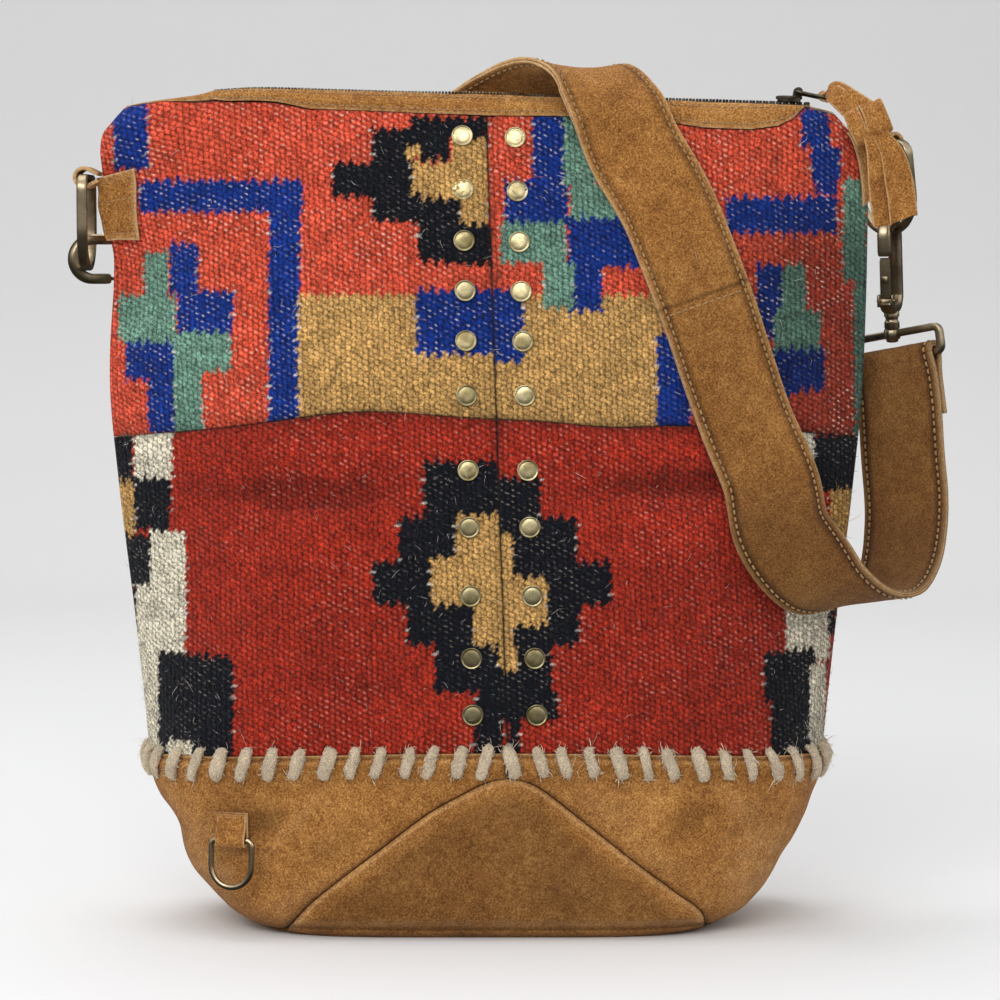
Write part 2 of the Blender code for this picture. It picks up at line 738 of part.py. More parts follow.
def puller(body, pin):
    """A wire bail hinged in the slider's ears, with the suede pull knotted on it."""
    heading = Vector((math.cos(math.radians(BAIL_ANGLE)), 0, math.sin(math.radians(BAIL_ANGLE))))
    across = Vector((0, 1, 0))
    path = [(0, -BAIL_WIDE / 2), (0, BAIL_WIDE / 2)]
    path += arc((BAIL_LONG - BAIL_WIDE / 2, 0), BAIL_WIDE / 2, 78, -78, 6)
    verts, faces = flat_sweep(path, pin, heading, across, oval(BAIL_WIRE, BAIL_WIRE, 6), True)
    bail = put("zip_puller", verts, faces, "zip_metal", pin, body)
    round_shading(bail, 60)
    return bail, Vector(pin) + heading * (BAIL_LONG - 0.001)


# A route for the suede pull: the knot's band over the bail, then two tails
PULL_KNOT = ((0.1805, -0.0170, 0.3841), (0.0105, 0.0062, 0.0088))  # centre and half sizes
PULL_TAILS = (
    ((0.1800, -0.0200, 0.3810), (0.1835, -0.0255, 0.3690), (0.1850, -0.0290, 0.3500), (0.1868, -0.0300, 0.3352)),
    ((0.1840, -0.0205, 0.3800), (0.1895, -0.0275, 0.3690), (0.1925, -0.0320, 0.3520), (0.1945, -0.0335, 0.3375)),
)


def spline(points, steps):
    """A smooth curve through the points, steps pieces between each two."""
    rows = [np.array(p, float) for p in points]
    rows = [2 * rows[0] - rows[1]] + rows + [2 * rows[-1] - rows[-2]]
    made = []
    for i in range(1, len(rows) - 2):
        a, b, c, d = rows[i - 1:i + 3]
        for k in range(steps):
            t = k / steps
            made.append(0.5 * (2 * b + (c - a) * t + (2 * a - 5 * b + 4 * c - d) * t**2 + (3 * b - a - 3 * c + d) * t**3))
    made.append(rows[-2])
    return made


def band(route, widths, wide, thick, edge=0.0):
    """A flat band along a route, with a direction across it at each point."""
    frames = []
    for i, point in enumerate(route):
        before, after = route[max(i - 1, 0)], route[min(i + 1, len(route) - 1)]
        heading = Vector(after - before).normalized()
        across = Vector(widths[i])
        across = (across - heading * across.dot(heading)).normalized()
        frames.append((across, heading.cross(across).normalized()))
    outline = [(-wide / 2, -thick / 2), (wide / 2, -thick / 2)]
    if edge:
        outline.append((wide / 2 - edge, 0))
    outline += [(wide / 2, thick / 2), (-wide / 2, thick / 2)]
    if edge:
        outline.append((-wide / 2 + edge, 0))
    return swept([Vector(p) for p in route], frames, outline, False)


def suede_pull(bail, hold):
    """A knotted suede thong: a band from the bail, a fat wrap and two tails."""
    centre, half = PULL_KNOT
    start = Vector(hold)
    neck_route = [np.array(p) for p in (start + Vector((0.0016, 0, 0.0024)), start + Vector((0.0042, -0.003, 0.0010)),
                                        Vector(centre) + Vector((0.002, -0.001, half[2] * 0.4)))]
    verts, faces = band(neck_route, [(0, 1, 0.2)] * 3, PULL_WIDE * 0.62, PULL_THICK)
    pull = put("zip_pull", verts, faces, "suede", start, bail)
    knot_profile = []
    for i in range(7):
        a = math.radians(-90 + 30 * i)
        knot_profile.append((half[0] * math.sin(a), half[1] * max(math.cos(a), 0.35)))
    knot = turned("knot", centre, (0.94, 0, 0.34), knot_profile, 10, "suede")
    for vertex in knot.data.vertices:
        vertex.co.z = centre[2] + (vertex.co.z - centre[2]) * half[2] / half[1]
    others = [knot]
    for k, route in enumerate(PULL_TAILS):
        route = spline(route, 3)
        verts, faces = band(route, [(1, 0.25 - 0.3 * k, 0.35)] * len(route), PULL_WIDE, PULL_THICK)
        others.append(put("tail", verts, faces, "suede"))
    unite(pull, others)
    round_shading(pull)
    return pull


# Rings and tabs

def d_path(wide, tall, corner):
    """A D as (down, across) pairs: a straight bar, short sides and a round end."""
    half = wide / 2
    path = [(0, -half + corner), (0, half - corner)]
    path += arc((corner, half - corner), corner, 180, 90, 3)[1:]
    path += arc((tall - half, 0), half, 90, -90, 9)
    path += arc((corner, -half + corner), corner, -90, -180, 3)[:-1]
    return path


def d_ring(name, bar, down, across, wide, tall, corner, thin, thick, sides=6):
    path = d_path(wide - 2 * thin, tall - 2 * thin, corner)
    verts, faces = flat_sweep(path, bar, down, across, oval(thin, thick, sides), True)
    ring = put(name, verts, faces, "hardware", bar)
    round_shading(ring, 60)
    return ring


def fold_path(bore, thick, reach_up, reach_down):
    """The middle line of a strip folded round a bar at the origin, both ends on the +first side."""
    radius = bore + thick / 2
    path = [(reach_up[0], reach_up[1])]
    path += arc((0, 0), radius, 62, 298, 9)
    path += [(reach_down[0], reach_down[1])]
    return path


def side_tab(name, bar, across, hand, front_deep):
    """A suede patch folded over the side seam, with the sleeve that holds the ring's bar."""
    bore = math.hypot(RING_THIN, RING_THICK) + SLEEVE_PLAY
    patch = patch_fold("patch", hand, bar[2] + PATCH_RISE, front_deep)
    level = level_under(hand * WIDTHS.max(), bar[2])
    root = Vector((hand * (form(round(level, 4))[0] + PATCH_OFF + TAB_SUEDE * 0.4), 0, bar[2]))
    lean = Vector((across[1], -across[0], 0)) * -hand
    reach = (root - Vector(bar)).length
    path = fold_path(bore, TAB_SUEDE, (reach, 0.0016), (reach, -0.0016))
    outline = [(-TAB_SUEDE / 2, -SLEEVE_WIDE / 2), (TAB_SUEDE / 2, -SLEEVE_WIDE / 2),
               (TAB_SUEDE / 2, SLEEVE_WIDE / 2), (-TAB_SUEDE / 2, SLEEVE_WIDE / 2)]
    verts, faces = flat_sweep(path, bar, lean, (0, 0, 1), outline, False)
    sleeve = put(name, verts, faces, "suede")
    unite(sleeve, [patch])
    round_shading(sleeve)


def patch_fold(name, hand, top_z, front_deep):
    """A U of suede over the side seam, lying on the front and back walls."""
    rows, steps = 4, 5
    outer, inner = [], []
    for r in range(rows + 1):
        z = level_under(hand * WIDTHS.max(), top_z - PATCH_TALL * (1 - r / rows))
        a = form(round(z, 4))[0]
        line_out, line_in = [], []
        for c in range(-steps, steps + 1):
            side = -1 if c < 0 else 1
            x = a - (front_deep if c < 0 else PATCH_DEEP) * (abs(c) / steps) ** 1.4
            y = depth_at(x, z) + PATCH_OFF
            beyond = PATCH_OFF if abs(c) <= 1 else 0.0
            line_in.append(tilted(hand * (x + beyond), side * y if c else 0.0, z))
            swell = TAB_SUEDE * (1 if c == 0 else 0.25)
            line_out.append(tilted(hand * (x + beyond + swell), side * (y + TAB_SUEDE) if c else 0.0, z))
        outer.append(line_out)
        inner.append(line_in)
    return thick_patch(name, outer, inner, "suede")


# Swivel hooks and strap loops

def hook(name, gate_name, shoulder, axis, side, parent):
    """A snap hook from its swivel shoulder: a bent eye, a sprung gate, and the post through the loop."""
    axis, side = Vector(axis).normalized(), Vector(side).normalized()
    normal = axis.cross(side).normalized()
    side = normal.cross(axis)
    path = [(0.0058, -HOOK_HALF + 0.0006), (0.0026, -HOOK_HALF + 0.0030), (0.0012, 0.0), (0.0026, HOOK_HALF - 0.0030)]
    path += [(0.0068, HOOK_HALF)]
    path += [(HOOK_REACH * 0.4, HOOK_HALF), (HOOK_REACH * 0.7, HOOK_HALF)]
    path += arc((HOOK_REACH, 0), HOOK_HALF, 90, -90, 10)
    gate_root = (0.0072, -HOOK_HALF)
    tip = gate_root[0] + GATE_LONG + 0.0008
    path.append((tip, -HOOK_HALF))
    verts, faces = flat_sweep(path, shoulder, axis, side, oval(HOOK_WIRE_IN, HOOK_WIRE_ACROSS, 6), False)
    body = put(name, verts, faces, "hardware", shoulder, parent)
    boss_long = BOSS_TALL + 2 * GAP
    profile = [(-COLLAR_LONG - boss_long - HEAD_TALL, HEAD_RADIUS * 0.7), (-COLLAR_LONG - boss_long - HEAD_TALL * 0.6, HEAD_RADIUS),
               (-COLLAR_LONG - boss_long, HEAD_RADIUS), (-COLLAR_LONG - boss_long, POST_RADIUS),
               (-COLLAR_LONG, POST_RADIUS), (-COLLAR_LONG, COLLAR_RADIUS), (-COLLAR_LONG * 0.6, COLLAR_RADIUS),
               (-COLLAR_LONG * 0.45, COLLAR_RADIUS * 0.82), (-COLLAR_LONG * 0.3, COLLAR_RADIUS), (0.0010, COLLAR_RADIUS * 0.9)]
    unite(body, [turned("post", shoulder, axis, profile, 10, "hardware")])
    for face in (-1, 1):
        place = Vector(shoulder) + axis * gate_root[0] + side * gate_root[1]
        place += normal * face * (GATE_WIDE / 2 + GAP + 0.0006) - axis * 0.0012
        half = (0.0030, 0.0018, 0.0006)
        unite(body, [block("cheek", place, (axis, side, normal), half, "hardware")])
    round_shading(body, 50)
    root = Vector(shoulder) + axis * (gate_root[0] + 0.0006) + side * gate_root[1]
    verts, faces = gate_shape(root, axis, side, normal)
    gate = put(gate_name, verts, faces, "hardware", root, body)
    round_shading(gate, 50)
    return body, root, normal


def gate_shape(root, axis, side, normal):
    """A flat spring gate, rounded at its hinge end, closing against the hook's tip."""
    radius = GATE_THICK / 2
    outline = arc((0, 0), radius, 90, 270, 4)
    end = GATE_LONG - 0.0006
    outline += [(end, -radius * 0.7), (end, radius * 0.7)]
    verts = []
    for face in (-1, 1):
        for a, b in outline:
            verts.append(tuple(root + axis * a + side * b + normal * face * GATE_WIDE / 2))
    n = len(outline)
    faces = [tuple(range(n)), tuple(range(n, 2 * n))[::-1]]
    faces += [(a, (a + 1) % n, (a + 1) % n + n, a + n) for a in range(n)]
    return verts, faces


def strap_loop(name, bar, to_hook, across, boss_axis):
    """A rectangular wire loop: its far bar lies in the strap's fold, its near bar has the swivel boss."""
    inner = LOOP_TALL - 2 * LOOP_WIRE
    half = LOOP_WIDE / 2 - LOOP_WIRE
    c = LOOP_CORNER
    path = [(0, -half + c), (0, half - c)]
    path += arc((c, half - c), c, 180, 90, 3)[1:]
    path += arc((inner - c, half - c), c, 90, 0, 3)
    path += [(inner, 0.0)]
    path += arc((inner - c, -half + c), c, 0, -90, 3)
    path += arc((c, -half + c), c, -90, -180, 3)[:-1]
    verts, faces = flat_sweep(path, bar, to_hook, across, oval(LOOP_WIRE, LOOP_WIRE, 6), True)
    loop = put(name, verts, faces, "hardware", bar)
    middle = Vector(bar) + Vector(to_hook) * inner
    axis = Vector(boss_axis).normalized()
    profile = [(-BOSS_TALL / 2, BOSS_RADIUS), (BOSS_TALL / 2, BOSS_RADIUS)]
    unite(loop, [turned("boss", middle, axis, profile, 12, "hardware")])
    bore = [(-BOSS_TALL, POST_RADIUS + POST_PLAY), (BOSS_TALL, POST_RADIUS + POST_PLAY)]
    unite(loop, [turned("bore", middle, axis, bore, 12, "hardware")], "DIFFERENCE")
    round_shading(loop, 50)
    return loop, middle, axis


# Strap

RIGHT_ACROSS = (0.75, -0.63, 0.17)  # along the right loop's bars, to the right and the front
RIGHT_HOOK_TURN = 68.0
LEFT_HOOK_TURN = 25.0
RIGHT_HOOK_AXIS = (-0.0442, -0.0722, 0.9964)
LEFT_FOLD_X, LEFT_FOLD_Y = -0.1364, 0.0338
LEFT_HOOK_RIDE = 0.0038  # the left hook's axis over the ring's lower end
HOOK_PLAY = 0.0028  # between a ring's end and the bow of the hook in it

FRONT_ROUTE = (  # places across, heights and lift off the front wall
    (0.0700, 0.3740, 0.0016),
    (0.0850, 0.3480, 0.0006),
    (0.0965, 0.3200, 0.0),
    (0.1055, 0.2950, 0.0),
    (0.1140, 0.2680, 0.0),
    (0.1225, 0.2420, 0.0010),
    (0.1320, 0.2150, 0.0050),
)

BACK_ROUTE = (  # places, and directions across the strap
    ((-0.0950, 0.0390, 0.3265), (0.12, 0.02, -0.98)),
    ((-0.0600, 0.0345, 0.3410), (0.32, 0.02, -0.92)),
    ((-0.0280, 0.0290, 0.3620), (0.50, 0.10, -0.84)),
    ((0.0000, 0.0235, 0.3850), (0.62, 0.32, -0.68)),
    ((0.0210, 0.0140, 0.4010), (0.66, 0.56, -0.44)),
    ((0.0365, 0.0030, 0.4090), (0.78, 0.58, -0.14)),
    ((0.0510, -0.0085, 0.4066), (0.87, 0.44, 0.06)),
    ((0.0620, -0.0180, 0.3910), (0.93, 0.26, 0.18)),
)
TURN_ROUTE = (
    ((0.1390, -0.0440, 0.1930), (0.92, 0.02, 0.32)),
    ((0.1490, -0.0500, 0.1780), (0.88, -0.20, 0.36)),
    ((0.1620, -0.0500, 0.1660), (0.80, -0.48, 0.30)),
    ((0.1770, -0.0430, 0.1600), (0.72, -0.66, 0.20)),
    ((0.1900, -0.0300, 0.1625), (0.70, -0.70, 0.12)),
    ((0.1990, -0.0150, 0.1760), (0.72, -0.68, 0.10)),
    ((0.2030, 0.0000, 0.1990), (0.75, -0.64, 0.10)),
    ((0.2020, 0.0080, 0.2230), (0.77, -0.62, 0.12)),
)


def upright(across):
    """The direction nearest to straight up that is square to another."""
    return (Vector((0, 0, 1)) - across * across.z).normalized()


def ring_down():
    """The direction in which the right ring hangs from its bar."""
    turn, swing = math.radians(RIGHT_RING_TURN), math.radians(RIGHT_RING_SWING)
    outward = Vector((math.sin(turn), -math.cos(turn), 0))
    return outward * math.sin(swing) - Vector((0, 0, 1)) * math.cos(swing)


def hook_rise():
    """From a loop's near bar to the shoulder of the hook that swivels on it."""
    return COLLAR_LONG + GAP + BOSS_TALL / 2


def left_fold_bar():
    """The middle of the left loop's far bar, from the ring that its hook hangs in."""
    return Vector((LEFT_FOLD_X, LEFT_FOLD_Y, LEFT_BAR[2] - (RING_TALL - 2 * RING_THIN) + LEFT_HOOK_RIDE))


def right_fold_bar():
    """The middle of the right loop's far bar, from the ring that its hook hangs in."""
    ring_end = Vector(RIGHT_BAR) + ring_down() * (RING_TALL - 2 * RING_THIN)
    reach = hook_rise() + HOOK_REACH + HOOK_HALF - HOOK_WIRE_IN - RING_THIN - HOOK_PLAY
    across = Vector(RIGHT_ACROSS).normalized()
    near_bar = ring_end - Vector(RIGHT_HOOK_AXIS).normalized() * reach
    return near_bar - upright(across) * (LOOP_TALL - 2 * LOOP_WIRE)


def fold_round(bar, run, across):
    """The strap's folded end round a bar: points from its cut end, round the bar, to the run's start."""
    run, across = Vector(run).normalized(), Vector(across).normalized()
    out = run.cross(across).normalized()
    radius = LOOP_WIRE + FOLD_PLAY + STRAP_THICK / 2
    lap = STRAP_THICK / 2 + GAP / 2 + 0.0001
    path = [(FOLD_BACK, -lap), (FOLD_BACK * 0.7, -lap), (FOLD_BACK * 0.45, -lap), (0.0085, -lap - 0.0004)]
    path += arc((0, 0), radius, -68, -292, 7)
    path += [(0.0085, lap + 0.0004), (FOLD_BACK * 0.45, lap), (FOLD_BACK * 0.7, lap)]
    return [np.array(Vector(bar) + run * a + out * b) for a, b in path]


def rest_on_wall(x, z, lift, before, after):
    """A place of the strap's middle line over the front wall, clear over its whole width, and its direction across."""
    flat = Vector((before[1] - after[1], 0, after[0] - before[0])).normalized()

    def on_wall(reach):
        px, pz = x + flat.x * reach, z + flat.z * reach
        return Vector(tilted(px, -depth_at(px, pz), pz))

    low, high = on_wall(-STRAP_WIDE / 2), on_wall(STRAP_WIDE / 2)
    across = (high - low).normalized()
    out = Vector((across.y, -across.x, 0)).normalized()
    middle = (low + high) / 2
    most = max((on_wall(reach) - middle).dot(out) for reach in np.linspace(-0.5, 0.5, 9) * STRAP_WIDE)
    return tuple(middle + out * (most + STRAP_THICK / 2 + STRAP_OFF + lift)), tuple(across)


def strap():
    right_across = Vector(RIGHT_ACROSS).normalized()
    left_across = Vector((0.0, 0.0, -1.0))
    left_turn = math.radians(LEFT_HOOK_TURN)
    left_run = Vector((math.cos(left_turn * 0.3), math.sin(left_turn * 0.3), 0.0))
    left_end = fold_round(left_fold_bar(), left_run, left_across)
    right_end = fold_round(right_fold_bar(), -upright(right_across), right_across)
    middle, widths = [], []
    for place, across in BACK_ROUTE:
        middle.append(place)
        widths.append(across)
    ends = [BACK_ROUTE[-1][0], TURN_ROUTE[0][0]]
    line = [(ends[0][0], ends[0][2])] + [(x, z) for x, z, _ in FRONT_ROUTE] + [(ends[1][0], ends[1][2])]
    for k, (x, z, lift) in enumerate(FRONT_ROUTE):
        place, across = rest_on_wall(x, z, lift, line[k], line[k + 2])
        middle.append(place)
        widths.append(across)
    for place, across in TURN_ROUTE:
        middle.append(place)
        widths.append(across)
    knots = [left_end[-1]] + [np.array(p) for p in middle] + [right_end[-1]]
    turns = [tuple(left_across)] + widths + [tuple(right_across)]
    route = spline(knots, 2)
    across = spline(turns, 2)
    whole = left_end[:-1] + route + right_end[:-1][::-1]
    directions = [left_across] * (len(left_end) - 1) + across + [right_across] * (len(right_end) - 1)
    verts, faces = band(whole, directions, STRAP_WIDE, STRAP_THICK, STRAP_EDGE)
    piece = put("strap", verts, faces, "suede")
    round_shading(piece)
    return piece


def upper_hardware():
    left_across = Vector((0, 1, 0))
    d_ring("left_ring", LEFT_BAR, (0, 0, -1), left_across, RING_WIDE, RING_TALL, RING_CORNER, RING_THIN, RING_THICK)
    side_tab("left_ring_tab", LEFT_BAR, left_across, -1, PATCH_DEEP)
    turn = math.radians(RIGHT_RING_TURN)
    bar_across = Vector((math.cos(turn), math.sin(turn), 0))
    d_ring("right_ring", RIGHT_BAR, ring_down(), bar_across, RING_WIDE, RING_TALL, RING_CORNER, RING_THIN, RING_THICK)
    side_tab("right_ring_tab", RIGHT_BAR, bar_across, 1, RIGHT_PATCH_FRONT)


def clips():
    """Each loop lies in the strap's fold, and its hook stands on it by the swivel post."""
    across = Vector(RIGHT_ACROSS).normalized()
    loop, middle, axis = strap_loop("right_strap_loop", right_fold_bar(), upright(across), across, RIGHT_HOOK_AXIS)
    plane = math.radians(RIGHT_HOOK_TURN)
    side = (math.cos(plane), math.sin(plane), 0)
    hook("right_hook", "right_hook_gate", middle + axis * hook_rise(), axis, side, loop)
    turn = math.radians(LEFT_HOOK_TURN)
    to_hook = Vector((-math.cos(turn), -math.sin(turn), 0))
    loop, middle, axis = strap_loop("left_strap_loop", left_fold_bar(), to_hook, (0, 0, -1), to_hook)
    hook("left_hook", "left_hook_gate", middle + axis * hook_rise(), axis, (0, 0, 1), loop)


def corner_ring(name, tab_name, x, z, side):
    """A small ring in a suede sleeve on a lower corner of the base, hanging against the wall."""
    place, normal = wall_facing(x, z, side)
    across = Vector((0, 0, 1)).cross(normal).normalized()
    fall = normal.cross(across).normalized()
    if fall.z > 0:
        fall = -fall
    bore = SMALL_RING_WIRE + 0.0004
    bar = place + normal * (CORNER_TAB_OFF + TAB_SUEDE + bore)
    down = (Vector((0, 0, -1)) + Vector((normal.x, normal.y, 0)).normalized() * 0.06).normalized()
    d_ring(name, bar, down, across, SMALL_RING_WIDE, SMALL_RING_TALL, SMALL_RING_CORNER,
           SMALL_RING_WIRE, SMALL_RING_WIRE)
    radius = bore + TAB_SUEDE / 2
    path = [(-0.0125, -radius)]
    path += arc((0, 0), radius, 270, 480, 10)
    path += [(-0.0075, -radius + TAB_SUEDE + GAP), (-0.0120, -radius + TAB_SUEDE + GAP)]
    outline = [(-TAB_SUEDE / 2, -SMALL_TAB_WIDE / 2), (TAB_SUEDE / 2, -SMALL_TAB_WIDE / 2),
               (TAB_SUEDE / 2, SMALL_TAB_WIDE / 2), (-TAB_SUEDE / 2, SMALL_TAB_WIDE / 2)]
    verts, faces = flat_sweep(path, bar, fall, normal, outline, False)
    round_shading(put(tab_name, verts, faces, "suede"))


def build():
    clear_scene()
    kilim_panels()
    lining()
    base_side("base_left_panel", LEG_LEFT_X)
    base_side("base_right_panel", LEG_RIGHT_X)
    bottom_panel()
    studs()
    zip_parts()
    body, pin = slider()
    bail, hold = puller(body, pin)
    suede_pull(bail, hold)
    upper_hardware()
    clips()
    strap()
    corner_ring("lower_left_ring", "lower_left_tab", -0.1180, 0.0480, -1)
    corner_ring("lower_right_ring", "lower_right_tab", 0.1380, 0.0480, 1)


build()
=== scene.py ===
"""The dressed look of the woven shoulder bag.

Metres, the front faces -Y. The lofted form and the routes are those of the solids, at a finer grain.
"""
import math
from functools import lru_cache

import bmesh
import bpy
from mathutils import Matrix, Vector
import numpy as np


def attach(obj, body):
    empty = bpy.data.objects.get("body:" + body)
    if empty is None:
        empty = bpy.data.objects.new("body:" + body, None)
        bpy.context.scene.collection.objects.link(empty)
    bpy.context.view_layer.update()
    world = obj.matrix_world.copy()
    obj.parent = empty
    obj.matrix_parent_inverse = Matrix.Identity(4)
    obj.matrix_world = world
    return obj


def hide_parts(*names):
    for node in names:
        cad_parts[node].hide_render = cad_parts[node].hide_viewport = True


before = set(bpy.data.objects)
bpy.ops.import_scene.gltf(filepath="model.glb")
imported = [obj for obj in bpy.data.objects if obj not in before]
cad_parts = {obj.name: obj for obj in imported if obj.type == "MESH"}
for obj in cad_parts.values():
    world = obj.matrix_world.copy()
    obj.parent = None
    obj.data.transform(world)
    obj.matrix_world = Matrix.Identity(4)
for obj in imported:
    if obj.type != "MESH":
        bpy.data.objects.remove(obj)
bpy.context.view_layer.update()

GAP = 0.0003  # left between pieces that touch

# The bag's form: height, half width, half depth
STATIONS = (
    (0.000, 0.108, 0.050),
    (0.004, 0.117, 0.055),
    (0.010, 0.127, 0.058),
    (0.020, 0.137, 0.0595),
    (0.038, 0.1465, 0.0600),
    (0.055, 0.155, 0.0590),
    (0.078, 0.1625, 0.0570),
    (0.106, 0.1655, 0.0545),
    (0.145, 0.1695, 0.0510),
    (0.210, 0.177, 0.0425),
    (0.262, 0.1815, 0.0345),
    (0.327, 0.183, 0.0235),
    (0.362, 0.1832, 0.0165),
    (0.376, 0.1815, 0.0135),
    (0.386, 0.178, 0.0114),
    (0.392, 0.172, 0.0096),
    (0.3974, 0.166, 0.0070),
)
RIDGE_Z = STATIONS[-1][0]
WIDEST = max(s[1] for s in STATIONS)
RIDGE_SLOPE = -0.0307
RIDGE_LEFT, RIDGE_RIGHT = -0.130, 0.154
CORNER_FALL = 0.24
TILT_FROM, TILT_TO = 0.24, 0.37
BASE_SQUARE, WAIST_SQUARE, RIDGE_SQUARE = 5.0, 2.5, 16.0
BASE_ROUND, WAIST_ROUND = 0.38, 0.8
WAIST_FROM, WAIST_TO = 0.06, 0.20
RIDGE_FROM = 0.362

KILIM = 0.003
SUEDE = 0.0018
LINING = 0.0008
LINING_PLAY = 0.0024
LINING_TOP = 0.3815

# The left side: drawn in under the ring's patch, fuller at its top corner, notched over the base's heel
SLIM_Z, SLIM_DEEP, SLIM_ABOVE, SLIM_BELOW = 0.318, 0.0044, 0.018, 0.036
CORNER_PROUD = 0.0062
NOTCH_Z, NOTCH_DEEP, HEEL_Z, HEEL_PROUD, NOTCH_TALL = 0.050, 0.0040, 0.028, 0.0030, 0.011

RIM_Z, RIM_DROOP = 0.0886, 0.0056
WAIST_SEAM_Z, WAIST_SEAM_DROOP = 0.2440, 0.010
# Where the waist seam wanders: share of the way across, half width, rise
WAIST_SWELLS = ((0.33, 0.12, 0.0052), (0.65, 0.07, -0.0023))
SAG_X, SAG_WIDE, SAG_DEEP = -0.134, 0.017, 0.0021
# Where the facing's depth is given, left to right, and the depth there
FACING_PLACES = (-0.170, -0.161, -0.144, -0.127, -0.104, -0.085, 0.000, 0.043, 0.086, 0.104, 0.127, 0.140,
                 0.151, 0.164)
FACING_TALL = (0.0006, 0.0011, 0.0035, 0.0054, 0.0062, 0.0093, 0.0098, 0.0091, 0.0101, 0.0124, 0.0125, 0.0105,
               0.0067, 0.0006)
CENTRE_SEAM_FOOT_X = 0.0105
LEG_TOP = 0.0768
# The bottom panel's edges, from the apex down: share of the drop, and of the way out to the foot
LEG_DROP_LEFT = (0.0, 0.0095, 0.0325, 0.064, 0.100, 0.158, 0.21, 0.4375, 0.624, 0.779, 0.878, 1.0)
LEG_OUT_LEFT = (0.0, 0.05, 0.10, 0.15, 0.20, 0.28, 0.344, 0.564, 0.741, 0.874, 0.936, 1.0)
LEG_DROP_RIGHT = (0.0, 0.0085, 0.030, 0.060, 0.096, 0.172, 0.302, 0.536, 0.704, 0.859, 0.93, 1.0)
LEG_OUT_RIGHT = (0.0, 0.05, 0.105, 0.155, 0.20, 0.281, 0.417, 0.659, 0.840, 0.985, 0.998, 1.0)
LEG_LEFT_X, LEG_RIGHT_X = -0.096, 0.104

STITCHES = 62
STITCH_TALL, STITCH_LEAN = 0.0138, 0.26
STITCH_DROP = 0.0040
FACING_PITCH = 0.0034

STUD_HEIGHTS = (0.3775, 0.352, 0.328, 0.3045, 0.281, 0.2555, 0.2205, 0.194, 0.162, 0.133, 0.1065)
STUD_COLUMNS = {"left": (-0.0112, -0.0060), "right": (0.0140, 0.0240)}

ZIP_LEFT, ZIP_RIGHT = -0.127, 0.1520
TOOTH_WIDE, TOOTH_TALL = 0.0056, 0.0016
CHAIN_TALL, CHAIN_SEAT = 0.0012, -0.0004
TAPE_THICK, TAPE_DROP, TAPE_OFF = 0.0006, 0.0085, 0.0011
STOP_LONG = 0.003
SLIDER_LONG, SLIDER_WIDE, SLIDER_X, SLIDER_PLATE = 0.0125, 0.0096, 0.1450, 0.0016
EAR_BACK, BAIL_WIRE, BAIL_LONG, BAIL_WIDE, BAIL_ANGLE = 0.0020, 0.0009, 0.0145, 0.0088, -12.0
PULL_THICK, PULL_WIDE = 0.0018, 0.0095
PULL_KNOT = ((0.1805, -0.0200, 0.3841), (0.0105, 0.0062, 0.0088))
# Each tail's width as a share of the thong's: at the knot, lower down, and how far down that is
PULL_TAIL_WIDTHS = ((0.62, 0.92, 0.5), (0.80, 1.40, 0.6))
PULL_TAILS = (
    ((0.1800, -0.0220, 0.3810), (0.1835, -0.0255, 0.3690), (0.1850, -0.0290, 0.3500),
     (0.1868, -0.0300, 0.3352)),
    ((0.1850, -0.0225, 0.3800), (0.1915, -0.0275, 0.3690), (0.1950, -0.0320, 0.3520),
     (0.1965, -0.0335, 0.3385)),
)

RING_WIDE, RING_TALL, RING_CORNER = 0.040, 0.046, 0.006
RING_THIN, RING_THICK = 0.00148, 0.00252
SLEEVE_PLAY, SLEEVE_WIDE, TAB_SUEDE = 0.0005, 0.022, 0.0018
PATCH_DEEP, PATCH_TALL, PATCH_RISE, PATCH_OFF = 0.017, 0.030, 0.0022, 0.0013
RIGHT_PATCH_FRONT, LEFT_PATCH_RISE = 0.0035, 0.0002
LEFT_BAR, RIGHT_BAR = (-0.1915, 0.0, 0.3585), (0.1898, 0.0054, 0.3751)
RIGHT_RING_TURN, RIGHT_RING_SWING = 125.0, 8.0
SMALL_RING_WIDE, SMALL_RING_TALL, SMALL_RING_CORNER, SMALL_RING_WIRE = 0.023, 0.025, 0.003, 0.00135
SMALL_TAB_WIDE, CORNER_TAB_OFF = 0.0145, 0.0006

HOOK_REACH, HOOK_HALF = 0.036, 0.0095
HOOK_WIRE_IN, HOOK_WIRE_ACROSS = 0.0025, 0.0033
GATE_LONG, GATE_WIDE, GATE_THICK = 0.0195, 0.0050, 0.0022
COLLAR_RADIUS, COLLAR_LONG = 0.0037, 0.0085
# The collar's grooves: share of its length, and of its radius
COLLAR_TURNING = ((1.0, 0.94), (0.95, 1.0), (0.62, 1.0), (0.56, 0.86), (0.44, 0.80), (0.34, 0.86),
                  (0.28, 1.0), (0.05, 1.0))
POST_RADIUS, HEAD_RADIUS, HEAD_TALL = 0.0018, 0.0030, 0.0014
LOOP_WIDE, LOOP_TALL, LOOP_CORNER, LOOP_WIRE = 0.0570, 0.0155, 0.0030, 0.0018
BOSS_RADIUS, BOSS_TALL = 0.0040, 0.0046

